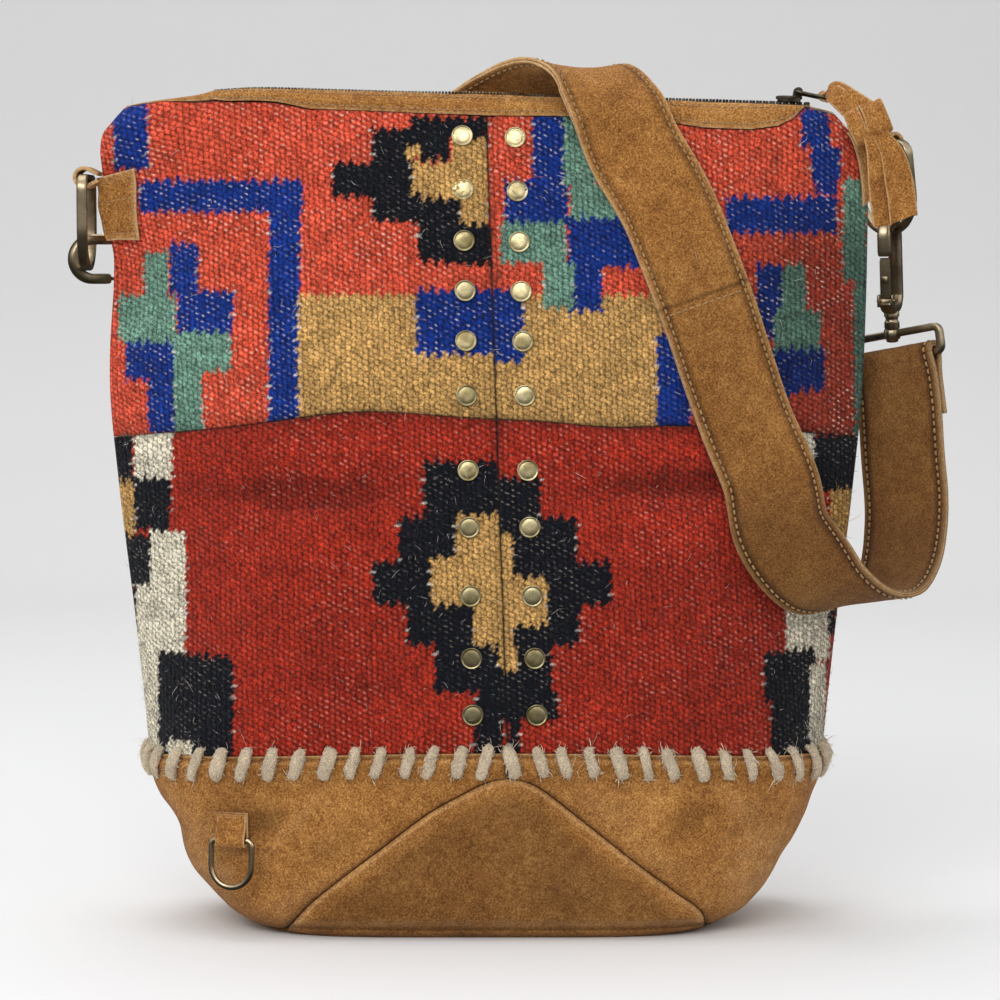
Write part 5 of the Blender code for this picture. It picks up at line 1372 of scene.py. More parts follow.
def in_chain(x, y, rise):
    """A place in the chain, which the facings have let sink a little."""
    return on_ridge(x, y, rise - 0.0006 - 0.0007 * smooth(-x, 0.0, 0.05) - ridge_sag(x))


ZIP_AXES = (unit([1, 0, RIDGE_SLOPE]), np.array([0.0, 1.0, 0.0]), unit([-RIDGE_SLOPE, 0, 1]))


def zip_chain():
    """Interlocked teeth on their cord, with a stop at each end."""
    parts = []
    pitch = 0.0016
    high = CHAIN_SEAT + CHAIN_TALL + TOOTH_TALL
    count = int((ZIP_RIGHT - ZIP_LEFT) / pitch)
    for k in range(count):
        side = 1 if k % 2 else -1
        centre = in_chain(ZIP_LEFT + (k + 0.5) * pitch, side * 0.0007, (CHAIN_SEAT + high) / 2)
        parts.append(block(centre, ZIP_AXES, (pitch * 0.36, 0.0021, (high - CHAIN_SEAT) / 2), 0.0004))
    for side in (-1, 1):
        places = np.linspace(ZIP_LEFT - 0.002, ZIP_RIGHT + 0.002, 90)
        path = np.array([in_chain(x, side * 0.00235, 0.0004) for x in places])
        first, second = (np.tile(axis, (len(path), 1)) for axis in ZIP_AXES[1:])
        parts.append(swept(path, first, second, oval(0.0005, 0.0008, 8), False))
    for x in (ZIP_LEFT - STOP_LONG / 2, ZIP_RIGHT + STOP_LONG / 2):
        half = (0.0013, TOOTH_WIDE / 2 - 0.0002, 0.0014)
        parts.append(block(in_chain(x, 0, 0.0010), ZIP_AXES, half, 0.0005))
    make("zip_teeth", *gather(parts), "bag", ZIP_METAL, "zip_metal", ["zip_chain"], angle=35)


def zip_tape(view):
    """The tape behind a facing: it climbs the wall and turns in to the teeth."""
    side = -1 if view == "front" else 1
    inset = SUEDE + TAPE_OFF
    middle, reach = (ZIP_LEFT + ZIP_RIGHT) / 2, (ZIP_RIGHT - ZIP_LEFT) / 2 + STOP_LONG
    lip = TOOTH_WIDE / 2 + GAP
    levels = ((TAPE_DROP, False), (0.0055, False), (0.0030, False), (0.0008, True))
    x = middle - reach * np.cos(math.pi * np.linspace(0, 1, 65))

    def grid(extra):
        rows = []
        for drop, fixed in levels:
            z = RIDGE_Z - drop
            away = np.full(x.shape, lip) if fixed else depth_at(x, z, inset) - extra
            height = z - extra if fixed else z
            rows.append(tilted(x, side * np.maximum(away, lip - extra * 0.5), height))
        return np.array(rows)

    outer, inner = grid(0.0), grid(TAPE_THICK)
    rows, columns = outer.shape[:2]
    verts = np.concatenate([outer.reshape(-1, 3), inner.reshape(-1, 3)])
    half = rows * columns
    edge = rim_of(rows, columns)
    faces = grid_faces(rows, columns) + grid_faces(rows, columns, half, True)
    faces += [(b, a, a + half, b + half) for a, b in zip(edge, edge[1:] + edge[:1])]
    make(f"{view}_zip_tape_cloth", verts, faces, "bag", TAPE, "zip_tape", [f"{view}_zip_tape"])


def slider_and_pull():
    high = CHAIN_SEAT + CHAIN_TALL + TOOTH_TALL
    low = high + GAP + 0.0001
    along, across, up = ZIP_AXES
    centre = on_ridge(SLIDER_X, 0, low + SLIDER_PLATE / 2)
    plan = []
    around = 40
    for k in range(around):
        a = 2 * math.pi * k / around
        c, s = math.cos(a), math.sin(a)
        squared = (abs(c) ** 3 + abs(s) ** 3) ** (-1 / 3)
        taper = 1 - 0.16 * smooth(-c, 0.0, 1.0)
        plan.append((SLIDER_LONG / 2 * c * squared, SLIDER_WIDE / 2 * s * squared * taper))
    plan = np.array(plan)
    layers = ((-0.0008, 0.93), (-0.0005, 1.0), (0.0004, 1.0), (0.0008, 0.88), (0.0009, 0.7))
    rings = [centre + np.outer(plan[:, 0] * k, along) + np.outer(plan[:, 1] * k, across) + up * h
             for h, k in layers]
    parts = [(np.concatenate(rings), tube_faces(len(layers), around))]
    pin = centre + along * (SLIDER_LONG / 2 - EAR_BACK) + up * (SLIDER_PLATE / 2 + 0.0018)
    for side in (-1, 1):
        skirt = centre + across * side * (TOOTH_WIDE / 2 + 0.0010) - up * 0.0012
        parts.append(block(skirt, ZIP_AXES, (SLIDER_LONG / 2 - 0.0010, 0.0006, 0.0009), 0.0004))
        ear = [(-0.0024, -0.0020), (0.0019, -0.0020), (0.0021, 0.0004)]
        ear += arc((0.0, 0.0004), 0.0021, 0, 180, 8)[1:]
        path = refine(ear, 0.0012)
        outer = np.array([pin + along * a + up * b for a, b in path])
        inner = np.array([pin + along * math.cos(t) * 0.0011 + up * math.sin(t) * 0.0011
                          for t in np.arctan2([b for _, b in path], [a for a, _ in path])])
        near, far = across * side * 0.0015, across * side * 0.0029
        rings = [outer + near, outer + far, inner + far, inner + near]
        parts.append((np.concatenate(rings), tube_faces(len(rings), len(path), True)))
    make("slider_body", *gather(parts), "slider", ZIP_METAL, "zip_metal", ["zip_slider"], angle=40)

    heading = np.array([math.cos(math.radians(BAIL_ANGLE)), 0, math.sin(math.radians(BAIL_ANGLE))])
    path = [(0, -BAIL_WIDE / 2), (0, BAIL_WIDE / 2)]
    path += arc((BAIL_LONG - BAIL_WIDE / 2, 0), BAIL_WIDE / 2, 85, -85, 20)
    verts, faces = flat_sweep(refine(path, 0.001), pin, heading, across, oval(BAIL_WIRE, BAIL_WIRE, 12), True)
    make("slider_bail", verts, faces, "puller", ZIP_METAL, "zip_metal", ["zip_puller"])
    suede_pull(pin + heading * (BAIL_LONG - 0.001))


def leather_band(route, widths, wide, thick, columns=14, wave=0.0, seed=0, slant=0.0):
    """A leather strip: its section is a rounded bar, its width may change along the route."""
    route = np.asarray(route, float)
    heading = unit(np.gradient(route, axis=0))
    across = np.asarray(widths, float)
    across = unit(across - heading * np.sum(across * heading, 1, keepdims=True))
    out = unit(np.cross(heading, across))
    wide = np.broadcast_to(np.asarray(wide, float), (len(route),))
    u = np.linspace(-1, 1, columns + 1)
    swell = thick / 2 * (1 - np.abs(u) ** 10 * 0.35)
    section = np.concatenate([np.stack([u, -swell], 1), np.stack([u, swell], 1)[::-1]])
    outlines = np.broadcast_to(section, (len(route), *section.shape)).copy()
    outlines[..., 0] *= wide[:, None] / 2
    if wave:
        run = np.arange(len(route))[:, None] * 0.35
        place = section[:, 0][None] * 1.3 + 2
        outlines[..., 1] += wave * lattice_noise(run + 0 * place, place + 0 * run, seed)
    worn = (np.abs(section[:, 0]) > 0.93) * 1.0
    verts, faces = swept(route, across, out, outlines, False)
    verts[-len(section):] += heading[-1] * slant * outlines[-1, :, :1]
    return verts, faces, np.tile(worn, len(route))


def suede_pull(hold):
    """The knotted thong: a neck over the bail, a wrap with its diagonal fold, and two tails."""
    centre, half = np.array(PULL_KNOT[0]), np.array(PULL_KNOT[1])
    neck = spline([hold + (0.0012, -0.0002, 0.0028), hold + (0.0040, -0.0066, 0.0030),
                   centre + (0.001, -0.002, half[2] * 0.5)], 6)
    parts, wear_and_highlight = [], []

    def add(verts, faces, worn):
        parts.append((verts, faces))
        wear_and_highlight.append(worn)

    turning = smooth(np.linspace(0, 1, len(neck)), 0.0, 0.6)[:, None]
    twist = mix(np.array([0, 1, 0.2]), np.array([0.25, 0.35, 0.95]), turning)
    add(*leather_band(neck, twist, mix(0.66, 1.15, turning[:, 0]) * PULL_WIDE, PULL_THICK * 1.4, 10))
    lower_neck = spline([hold + (0.0012, -0.0008, 0.0008), hold + (0.0042, -0.0090, 0.0010),
                         centre + (0.000, -0.002, -half[2] * 0.2)], 6)
    add(*leather_band(lower_neck, twist, mix(0.66, 1.05, turning[:, 0]) * PULL_WIDE, PULL_THICK * 1.4, 10))
    bow = np.array([[hold + (0.0012 + 0.0026 * math.cos(a) - 0.0014, 0.0, 0.0010 + 0.0018 * math.sin(a))]
                    for a in np.radians(np.linspace(100, 260, 12))]).reshape(-1, 3)
    add(*leather_band(bow, [(0, 1, 0.1)] * len(bow), PULL_WIDE * 0.66, PULL_THICK, 8))
    axis = unit(np.array([0.94, 0, 0.34]))
    sidewise = np.array([0.0, 1.0, 0.0])
    third = np.cross(axis, sidewise)
    for turn, (shift, lean) in enumerate(((-0.0052, 0.22), (0.0012, -0.30), (0.0062, 0.10))):
        ring = []
        for a in np.linspace(0, 2 * math.pi, 33):
            swing = centre + axis * (shift + lean * half[2] * 0.5 * math.cos(a + 0.6))
            swing = swing + sidewise * half[1] * 0.80 * math.cos(a)
            ring.append(swing + third * half[2] * 0.80 * math.sin(a))
        ring = np.array(ring)
        across = np.tile(axis + 0.25 * third * (-1) ** turn, (len(ring), 1))
        add(*leather_band(ring, across, 0.0078, 0.0026, 10, 0.0004, 61 + turn))
    core = [(half[0] * math.sin(a) * 0.92, half[2] * max(math.cos(a), 0.3) * 0.82)
            for a in np.radians(np.linspace(-90, 90, 13))]
    verts, faces = turned((0, 0, 0), axis, core, 20)
    verts[:, 1] *= half[1] / half[2]
    add(verts + centre, faces, np.zeros(len(verts)))
    for k, route in enumerate(PULL_TAILS):
        line = spline(route, 12)
        t = np.linspace(0, 1, len(line))
        narrow, broad, until = PULL_TAIL_WIDTHS[k]
        wide = PULL_WIDE * mix(narrow, broad, smooth(t, 0.0, until))
        across = [(1, 0.25 - 0.3 * k, 0.35)] * len(line)
        add(*leather_band(line, across, wide, PULL_THICK, 14, 0.0006, 71 + k, -0.30 * k))
    verts, faces = gather(parts)
    make("knotted_pull", verts, faces, "puller", SUEDE_BODY, "suede", ["zip_pull"],
         suede_marks(verts, np.concatenate(wear_and_highlight) * 0.8))


# Rings and tabs

def d_path(wide, tall, corner):
    """A D: a straight bar with round corners, closed by half a circle."""
    half = wide / 2
    path = [(0, -half + corner), (0, half - corner)]
    path += arc((corner, half - corner), corner, 180, 90, 8)[1:]
    path += arc((tall - half, 0), half, 90, -90, 40)
    path += arc((corner, -half + corner), corner, -90, -180, 8)[:-1]
    return refine(path, 0.002)


def d_ring(name, node, body, bar, down, across, wide, tall, corner, outline):
    thin = outline[:, 0].max()
    path = d_path(wide - 2 * thin, tall - 2 * thin, corner)
    verts, faces = flat_sweep(path, bar, down, across, outline, True)
    make(name, verts, faces, body, GUNMETAL, "hardware", [node])


def side_tab(name, node, bar, across, hand, front_deep, rise):
    """A suede patch folded over the side seam, its sleeve round the ring's bar, and the stitching."""
    bar, across = np.asarray(bar, float), np.asarray(across, float)
    bore = math.hypot(RING_THIN, RING_THICK) + SLEEVE_PLAY
    outer, inner, normal = patch_fold(hand, bar[2] + rise, front_deep)
    level = level_under(hand * WIDEST, bar[2])
    root = np.array([hand * (float(form(level)[0]) + PATCH_OFF + TAB_SUEDE * 0.4), 0, bar[2]])
    lean = np.array([across[1], -across[0], 0]) * -hand
    reach = np.linalg.norm(root - bar)
    path = [(reach, 0.0016), *arc((0, 0), bore + TAB_SUEDE / 2, 62, 298, 24), (reach, -0.0016)]
    strip = rounded_bar(TAB_SUEDE / 2, SLEEVE_WIDE / 2, 0.0005, 2)
    strip = np.array(refine([tuple(q) for q in strip], 0.002))
    sleeve = flat_sweep(path, bar, lean, (0, 0, 1), strip, False)
    verts, faces = closed_patch(outer, inner, 4)
    rows, columns = outer.shape[:2]
    s, t = np.linspace(0, 1, rows)[:, None], np.linspace(-1, 1, columns)[None, :]
    from_side = (1 - np.abs(t)) * np.where(t < 0, front_deep, PATCH_DEEP)
    border = np.minimum(np.minimum(s, 1 - s) * PATCH_TALL, from_side)
    wear_and_highlight = suede_marks(verts, 0.9 * fade(border, 0.0007), hidden=0.8)["wear_and_highlight"]
    worn = np.where(np.abs(np.tile(strip[:, 1], len(path))) > SLEEVE_WIDE / 2 - 0.0004, 0.8, 0.0)
    verts, faces = gather([(verts, faces), sleeve])
    make(name, verts, faces, "bag", SUEDE_BODY, "suede", [node],
         suede_marks(verts, np.concatenate([wear_and_highlight, worn])))
    low, high = int(rows * 0.10), int(rows * 0.90)
    lines = []
    half = columns // 2
    wings = [slice(half + 4, columns - 2)]
    edges = [columns - 3]
    if front_deep > 0.01:
        wings.append(slice(2, half - 3))
        edges.append(2)
    for cols in wings:
        for row in (low, high, int(rows * 0.60)):
            lines += stitches(outer[row, cols], normal[row, cols], 0.0020, 0.0006, 0.0028)
    for column in edges:
        lines += stitches(outer[low:high + 1, column], normal[low:high + 1, column], 0.0020, 0.0006, 0.0028)
    sewing(name, lines)


def patch_fold(hand, top_z, front_deep):
    """The patch's outer and inner grid, from its front edge round the side seam to its back edge."""
    rows, steps = 40, 32
    s = np.linspace(0, 1, rows + 1)[:, None]
    c = np.linspace(-1, 1, 2 * steps + 1)[None, :]
    z = level_under(hand * WIDEST, top_z - PATCH_TALL * (1 - s)) + 0 * c
    a = form(z)[0]
    side = np.where(c < 0, -1.0, 1.0)
    z = z - 0.0032 * (1 - s) * np.clip(-c, 0, 1) ** 1.5
    x = a - np.where(c < 0, front_deep * (1 - 0.10 * (1 - s)), PATCH_DEEP) * np.abs(c) ** 1.4
    proud = mix(0.35, 1.0, smooth(s, 0.0, 0.4)) + 0.22 * np.sin(s * 14)
    y = (depth_at(x, z) + PATCH_OFF) * smooth(np.abs(c), 0, 0.12)
    near = 1 - smooth(np.abs(c), 0.15, 0.4)
    swell = TAB_SUEDE * mix(0.25, 1.0, near)
    ripple = 0.0004 * lattice_noise(c * 3 + 7, s * 3, 81) * (1 - near)
    away = TAB_SUEDE * smooth(np.abs(c), 0, 0.12) + ripple
    inner = tilted(hand * (x + PATCH_OFF * near * proud), side * y, z)
    outer = tilted(hand * (x + PATCH_OFF * near * proud + swell), side * (y + away), z)
    normal = grid_normals(outer)
    centre = outer * (0.9, 0.0, 1.0)
    normal = normal * np.sign(np.sum(normal * (outer - centre), -1, keepdims=True) + 1e-12)
    return outer, inner, normal


def corner_ring(corner, x, z, side):
    """A small ring in its suede tab at the base's corner."""
    place, normal = wall_facing(x, z, side)
    across = unit(np.cross([0, 0, 1], normal))
    fall = unit(np.cross(normal, across))
    if fall[2] > 0:
        fall = -fall
    bore = SMALL_RING_WIRE + 0.0004
    bar = place + normal * (CORNER_TAB_OFF + TAB_SUEDE + bore)
    down = unit(np.array([0, 0, -1]) + unit(np.array([normal[0], normal[1], 0])) * 0.06)
    wire = oval(SMALL_RING_WIRE, SMALL_RING_WIRE, 14)
    d_ring(f"{corner}_d_ring", f"{corner}_ring", f"{corner}_ring_body", bar, down, across, SMALL_RING_WIDE,
           SMALL_RING_TALL, SMALL_RING_CORNER, wire)
    radius = bore + TAB_SUEDE / 2
    path = [(-0.0125, -radius)]
    path += arc((0, 0), radius, 270, 480, 26)
    path += [(-0.0075, -radius + TAB_SUEDE + GAP), (-0.0120, -radius + TAB_SUEDE + GAP)]
    strip = rounded_bar(TAB_SUEDE / 2, SMALL_TAB_WIDE / 2, 0.0005, 2)
    verts, faces = flat_sweep(path, bar, fall, normal, strip, False)
    worn = np.where(np.abs(np.tile(strip[:, 1], len(path))) > SMALL_TAB_WIDE / 2 - 0.0004, 0.85, 0.0)
    make(f"{corner}_sleeve", verts, faces, "bag", SUEDE_BODY, "suede", [f"{corner}_tab"],
         suede_marks(verts, worn))
    row = []
    for t in (-0.0062, -0.0108):
        line = np.array([bar + fall * t + normal * (-radius + TAB_SUEDE * 1.5 + GAP) + across * a
                         for a in np.linspace(-SMALL_TAB_WIDE / 2 + 0.001, SMALL_TAB_WIDE / 2 - 0.001, 12)])
        row += stitches(line, np.tile(normal, (12, 1)), 0.0018, 0.0006, 0.0026)
    sewing(f"{corner}_sleeve", row)


# Hooks and loops

def hook(hand, shoulder, axis, side):
    """A snap hook from its collar's shoulder: wire, swivel post and head, hinge cheeks, and the gate."""
    axis, side = unit(axis), unit(side)
    normal = unit(np.cross(axis, side))
    side = np.cross(normal, axis)
    path = [(0.0058, -HOOK_HALF + 0.0006), (0.0026, -HOOK_HALF + 0.0030), (0.0012, 0.0),
            (0.0026, HOOK_HALF - 0.0030), (0.0068, HOOK_HALF)]
    path = [tuple(p) for p in spline(path, 6)]
    straight = np.linspace(0.0085, HOOK_REACH - 0.001, 12)
    path += [(a, HOOK_HALF) for a in straight]
    path += arc((HOOK_REACH, 0), HOOK_HALF, 90, -90, 32)
    gate_root = (0.0072, -HOOK_HALF)
    tip = gate_root[0] + GATE_LONG + 0.0008
    path += [(mix(HOOK_REACH, tip, k), -HOOK_HALF) for k in (0.35, 0.7, 0.92, 1.0)]
    scale = np.ones(len(path))
    scale[-1], scale[-2], scale[0] = 0.8, 0.95, 0.8
    outline = rounded_bar(HOOK_WIRE_IN, HOOK_WIRE_ACROSS, 0.0016, 3)[None] * scale[:, None, None]
    parts = [flat_sweep(path, shoulder, axis, side, outline, False)]
    boss_long = BOSS_TALL + 2 * GAP
    deep = COLLAR_LONG + boss_long
    profile = [(-deep - HEAD_TALL, HEAD_RADIUS * 0.6), (-deep - HEAD_TALL * 0.8, HEAD_RADIUS * 0.9),
               (-deep - HEAD_TALL * 0.4, HEAD_RADIUS), (-deep, HEAD_RADIUS), (-deep, POST_RADIUS),
               (-COLLAR_LONG, POST_RADIUS)]
    profile += [(-COLLAR_LONG * share, COLLAR_RADIUS * wide) for share, wide in COLLAR_TURNING]
    profile += [(0.0010, COLLAR_RADIUS * 0.82)]
    parts.append(turned(shoulder, axis, profile, 28))
    for face in (-1, 1):
        place = shoulder + axis * (gate_root[0] - 0.0012) + side * gate_root[1]
        place = place + normal * face * (GATE_WIDE / 2 + GAP + 0.0006)
        parts.append(block(place, (axis, side, normal), (0.0030, 0.0018, 0.0006), 0.0004))
        rivet = [(0, 0.0011), (0.0005, 0.0010), (0.0007, 0.0005)]
        parts.append(turned(place + normal * face * 0.0004, normal * face, rivet, 12))
    make(f"{hand}_snap_hook", *gather(parts), f"{hand}_hook_body", GUNMETAL, "hardware", [f"{hand}_hook"],
         angle=42)
    root = shoulder + axis * (gate_root[0] + 0.0006) + side * gate_root[1]
    radius = GATE_THICK / 2
    end = GATE_LONG - 0.0006
    outline = arc((0, 0), radius, 90, 270, 8) + [(end - 0.0004, -radius * 0.75), (end, -radius * 0.4),
                                                 (end, radius * 0.4), (end - 0.0004, radius * 0.75)]
    layers = ((-1.0, 0.86), (-0.88, 1.0), (0.88, 1.0), (1.0, 0.86))
    lever = [root + axis * mix(end / 2, a, k) + side * b * k + normal * w * GATE_WIDE / 2
             for w, k in layers for a, b in outline]
    thumb = root + axis * end * 0.45 - side * (radius + 0.0003)
    parts = [(lever, tube_faces(len(layers), len(outline))),
             block(thumb, (axis, normal, side), (0.0016, 0.0016, 0.0005), 0.0003)]
    make(f"{hand}_snap_gate", *gather(parts), f"{hand}_gate", GUNMETAL, "hardware", [f"{hand}_hook_gate"],
         angle=42)


def strap_loop(hand, bar, to_hook, across, boss_axis):
    """The rectangular loop with the boss that the hook's post turns in; gives the boss's middle and axis."""
    inner = LOOP_TALL - 2 * LOOP_WIRE
    half = LOOP_WIDE / 2 - LOOP_WIRE
    c = LOOP_CORNER
    path = [(0, -half + c), (0, half - c)]
    path += arc((c, half - c), c, 180, 90, 7)[1:]
    path += arc((inner - c, half - c), c, 90, 0, 7)
    path += [(inner, 0.0)]
    path += arc((inner - c, -half + c), c, 0, -90, 7)
    path += arc((c, -half + c), c, -90, -180, 7)[:-1]
    wire = rounded_bar(LOOP_WIRE, LOOP_WIRE, 0.0009, 3)
    bar, to_hook = np.asarray(bar, float), np.asarray(to_hook, float)
    frame_wire = flat_sweep(refine(path, 0.002), bar, to_hook, across, wire, True)
    middle = bar + to_hook * inner
    axis = unit(boss_axis)
    h, r, b = BOSS_TALL / 2, BOSS_RADIUS, POST_RADIUS + 0.0004
    ring = [(-h, b), (-h, r * 0.92), (-h + 0.0004, r), (h - 0.0004, r), (h, r * 0.92), (h, b)]
    around = 28
    boss = (turned(middle, axis, ring, around)[0], tube_faces(len(ring), around, True))
    make(f"{hand}_loop_wire", *gather([frame_wire, boss]), f"{hand}_loop", GUNMETAL, "hardware",
         [f"{hand}_strap_loop"], angle=42)
    return middle, axis


# Strap

def upright(across):
    return unit(np.array([0, 0, 1]) - across * across[2])


def fold_round(bar, run, across):
    """The strap's end, folded round a loop's bar: from its cut edge to where it leaves the fold."""
    run, across = unit(run), unit(across)
    out = unit(np.cross(run, across))
    radius = LOOP_WIRE + FOLD_PLAY + STRAP_THICK / 2
    lap = STRAP_THICK / 2 + GAP / 2 + 0.0001
    path = [(FOLD_BACK, -lap), (FOLD_BACK * 0.85, -lap), (FOLD_BACK * 0.7, -lap), (FOLD_BACK * 0.55, -lap),
            (FOLD_BACK * 0.42, -lap), (0.0085, -lap - 0.0004)]
    path += arc((0, 0), radius, -68, -292, 22)
    path += [(0.0085, lap + 0.0004), (FOLD_BACK * 0.42, lap), (FOLD_BACK * 0.55, lap), (FOLD_BACK * 0.7, lap)]
    return [np.asarray(bar) + run * a + out * b for a, b in path]


def rest_on_wall(x, z, lift, before, after):
    """The strap's middle and its direction across where it lies on the front wall."""
    flat = unit([before[1] - after[1], 0, after[0] - before[0]])

    def on_wall(reach):
        px, pz = x + flat[0] * reach, z + flat[2] * reach
        return tilted(px, -depth_at(px, pz), pz)

    low, high = on_wall(-STRAP_WIDE / 2), on_wall(STRAP_WIDE / 2)
    across = unit(high - low)
    out = unit([across[1], -across[0], 0])
    middle = (low + high) / 2
    most = max(float(np.dot(on_wall(reach) - middle, out))
               for reach in np.linspace(-0.5, 0.5, 9) * STRAP_WIDE)
    return middle + out * (most + STRAP_THICK / 2 + STRAP_OFF + lift), across


def strap_route():
    """The strap's middle line and the directions across it, in fine steps, from its left end to its right."""
    right_across = unit(RIGHT_ACROSS)
    left_across = np.array([0.0, 0.0, -1.0])
    turn = math.radians(LEFT_HOOK_TURN)
    left_run = np.array([math.cos(turn * 0.3), math.sin(turn * 0.3), 0.0])
    left_end = fold_round(LEFT_FOLD_BAR, left_run, left_across)
    right_end = fold_round(RIGHT_FOLD_BAR, -upright(right_across), right_across)
    middle, widths = ([np.array(row[k]) for row in BACK_ROUTE] for k in (0, 1))
    ends = [BACK_ROUTE[-1][0], TURN_ROUTE[0][0]]
    line = [(ends[0][0], ends[0][2])] + [(x, z) for x, z, _ in FRONT_ROUTE] + [(ends[1][0], ends[1][2])]
    for k, (x, z, lift) in enumerate(FRONT_ROUTE):
        place, across = rest_on_wall(x, z, lift, line[k], line[k + 2])
        if k == len(FRONT_ROUTE) - 1:
            across = unit(across + unit(TURN_ROUTE[0][1]))
        middle.append(place)
        widths.append(across)
    middle += [np.array(place) for place, _ in TURN_ROUTE]
    widths += [np.array(across) for _, across in TURN_ROUTE]
    route = spline([left_end[-1]] + middle + [right_end[-1]], 14)
    across = spline([left_across] + widths + [right_across], 14)
    whole = np.array(left_end[:-1] + list(route) + right_end[:-1][::-1])
    at_left, at_right = [left_across] * (len(left_end) - 1), [right_across] * (len(right_end) - 1)
    return whole, np.array(at_left + list(across) + at_right)


STRAP_SEAM = 0.865  # the edge seam's place, as a share of the half width
SPLICE = (0.1040, -0.034, 0.3035)
SPLICE_SEAM = 0.0042  # from the splice to its row of stitches


def strap():
    """The strap and its stitches; gives both pieces and the length."""
    route, widths = strap_route()
    heading = unit(np.gradient(route, axis=0))
    across = unit(widths - heading * np.sum(widths * heading, 1, keepdims=True))
    out = unit(np.cross(heading, across))
    run = running_length(route)
    half_w, half_t = STRAP_WIDE / 2, STRAP_THICK / 2
    u = np.concatenate([np.linspace(-1, -0.90, 4), np.linspace(-0.86, 0.86, 12), np.linspace(0.90, 1, 4)])
    edge = np.abs(u)
    sewn = hump((edge - STRAP_SEAM) * half_w, 0.0, 0.0011)
    top = half_t * (1 - 0.10 * edge**14) - 0.00022 * sewn
    groove = [(1.0, 0.55), (0.994, 0.16), (0.976, 0.0), (0.994, -0.16), (1.0, -0.55)]
    ring_u = list(u) + [g for g, _ in groove] + list(u[::-1]) + [-g for g, _ in groove]
    ring_v = list(top) + [half_t * g for _, g in groove] + list(-top[::-1]) + [-half_t * g for _, g in groove]
    section = np.array([(a * half_w, b) for a, b in zip(ring_u, ring_v)])
    outlines = np.broadcast_to(section, (len(route), *section.shape)).copy()
    place, aside = run[:, None], section[:, 0][None] + 0 * run[:, None]
    wobble = 0.00035 * lattice_noise(place / 0.012, aside / 0.012, 91)
    wobble += 0.00018 * lattice_noise(place / 0.005, aside / 0.005, 92)
    outlines[..., 1] += wobble * (np.abs(section[:, 1])[None] > half_t * 0.5) * 0.6
    verts, faces = swept(route, across, out, outlines, False)
    splice = int(np.argmin(np.linalg.norm(route - np.array(SPLICE), axis=1)))
    border = 1 - np.abs(section[:, 0]) / half_w
    # Painted shade in the edges' groove, under the splice's step and along the stitch lines.
    groove_dark = (np.abs(section[:, 1]) < half_t * 0.10) * 1.0
    worn = fade(border * half_w, 0.0006) * (1 - groove_dark)
    rng = np.random.default_rng(19)
    rough_edge = 0.65 + 0.35 * rng.random((len(route), 1))
    dark = np.tile(groove_dark * 0.8, (len(route), 1))
    dark[splice] = np.maximum(dark[splice], 0.45)
    faced = np.abs(section[:, 1]) > half_t * 0.5
    sewn_line = hump(np.abs(section[:, 0]), STRAP_SEAM * half_w, 0.0009) * faced
    # Painted shade on the strap's lower run and its right end, which face away from the light.
    shade_low_and_right = 0.22 * smooth(-route[:, 2], -0.345, -0.300) + 0.42 * smooth(-route[:, 2], -0.235, -0.185)
    shade_low_and_right = np.maximum(shade_low_and_right, 0.52 * smooth(route[:, 0], 0.175, 0.195))
    away = smooth(route[:, 0], 0.030, 0.080)
    dark = dark + 0.60 * sewn_line[None] + (shade_low_and_right * away)[:, None] * faced[None]
    piece = make("shoulder_strap", verts, faces, "bag", SUEDE_BODY, "suede", ["strap"],
                 suede_marks(verts, worn[None] * rough_edge, dark))
    rows = []
    for face in (-1, 1):
        for hand in (-1, 1):
            line = route + across * hand * half_w * STRAP_SEAM + out * face * (half_t - 0.00015)
            rows += stitches(line[2:-2], out[2:-2] * face, 0.0025, 0.0010, 0.0036)
    k = int(np.argmin(np.abs(run - run[splice] - SPLICE_SEAM)))
    spots = np.linspace(-0.84, 0.84, 20)[:, None] * half_w
    for face in (-1, 1):
        line = route[k] + across[k] * spots + out[k] * face * (half_t + 0.0001)
        rows += stitches(line, np.tile(out[k] * face, (20, 1)), 0.0024, 0.0010, 0.0034)
    return piece, sewing("strap", rows), float(run[-1])


def lining():
    """The thin cotton bag inside."""
    heights = np.concatenate([[0.0, 0.004, 0.009], np.linspace(0.016, LINING_TOP, 26)])
    columns = 72
    rings = []
    for inset in (KILIM + LINING_PLAY, KILIM + LINING_PLAY + LINING):
        stack = []
        for z in heights:
            level = max(z, inset)
            t = np.linspace(0, 1, columns + 1)
            front, back = wall(t, level, -1, inset), wall(t[1:-1][::-1], level, 1, inset)
            ring = np.concatenate([front, back])
            soft = 0.0005 * lattice_noise(ring[:, 0] / 0.03 + 4, ring[:, 2] / 0.05, 101)
            ring[:, 1] -= np.sign(ring[:, 1]) * np.abs(soft * smooth(z, 0.01, 0.05))
            stack.append(ring)
        rings.append(stack)
    around = 2 * columns
    verts = np.concatenate([ring for stack in rings for ring in stack])
    block_size = len(heights) * around
    faces = []
    for skin in (0, 1):
        for r in range(len(heights) - 1):
            a = skin * block_size + r * around
            faces += [(a + c, a + (c + 1) % around, a + around + (c + 1) % around, a + around + c)
                      for c in range(around)]
        floor = skin * block_size
        for c in range(columns):
            far, further = (around - c) % around, around - c - 1
            faces.append(tuple(dict.fromkeys((floor + c, floor + c + 1, floor + further, floor + far))))
    top = (len(heights) - 1) * around
    faces += [(top + c, top + (c + 1) % around, block_size + top + (c + 1) % around, block_size + top + c)
              for c in range(around)]
    make("cotton_lining", verts, faces, "bag", COTTON, "lining", ["lining"])


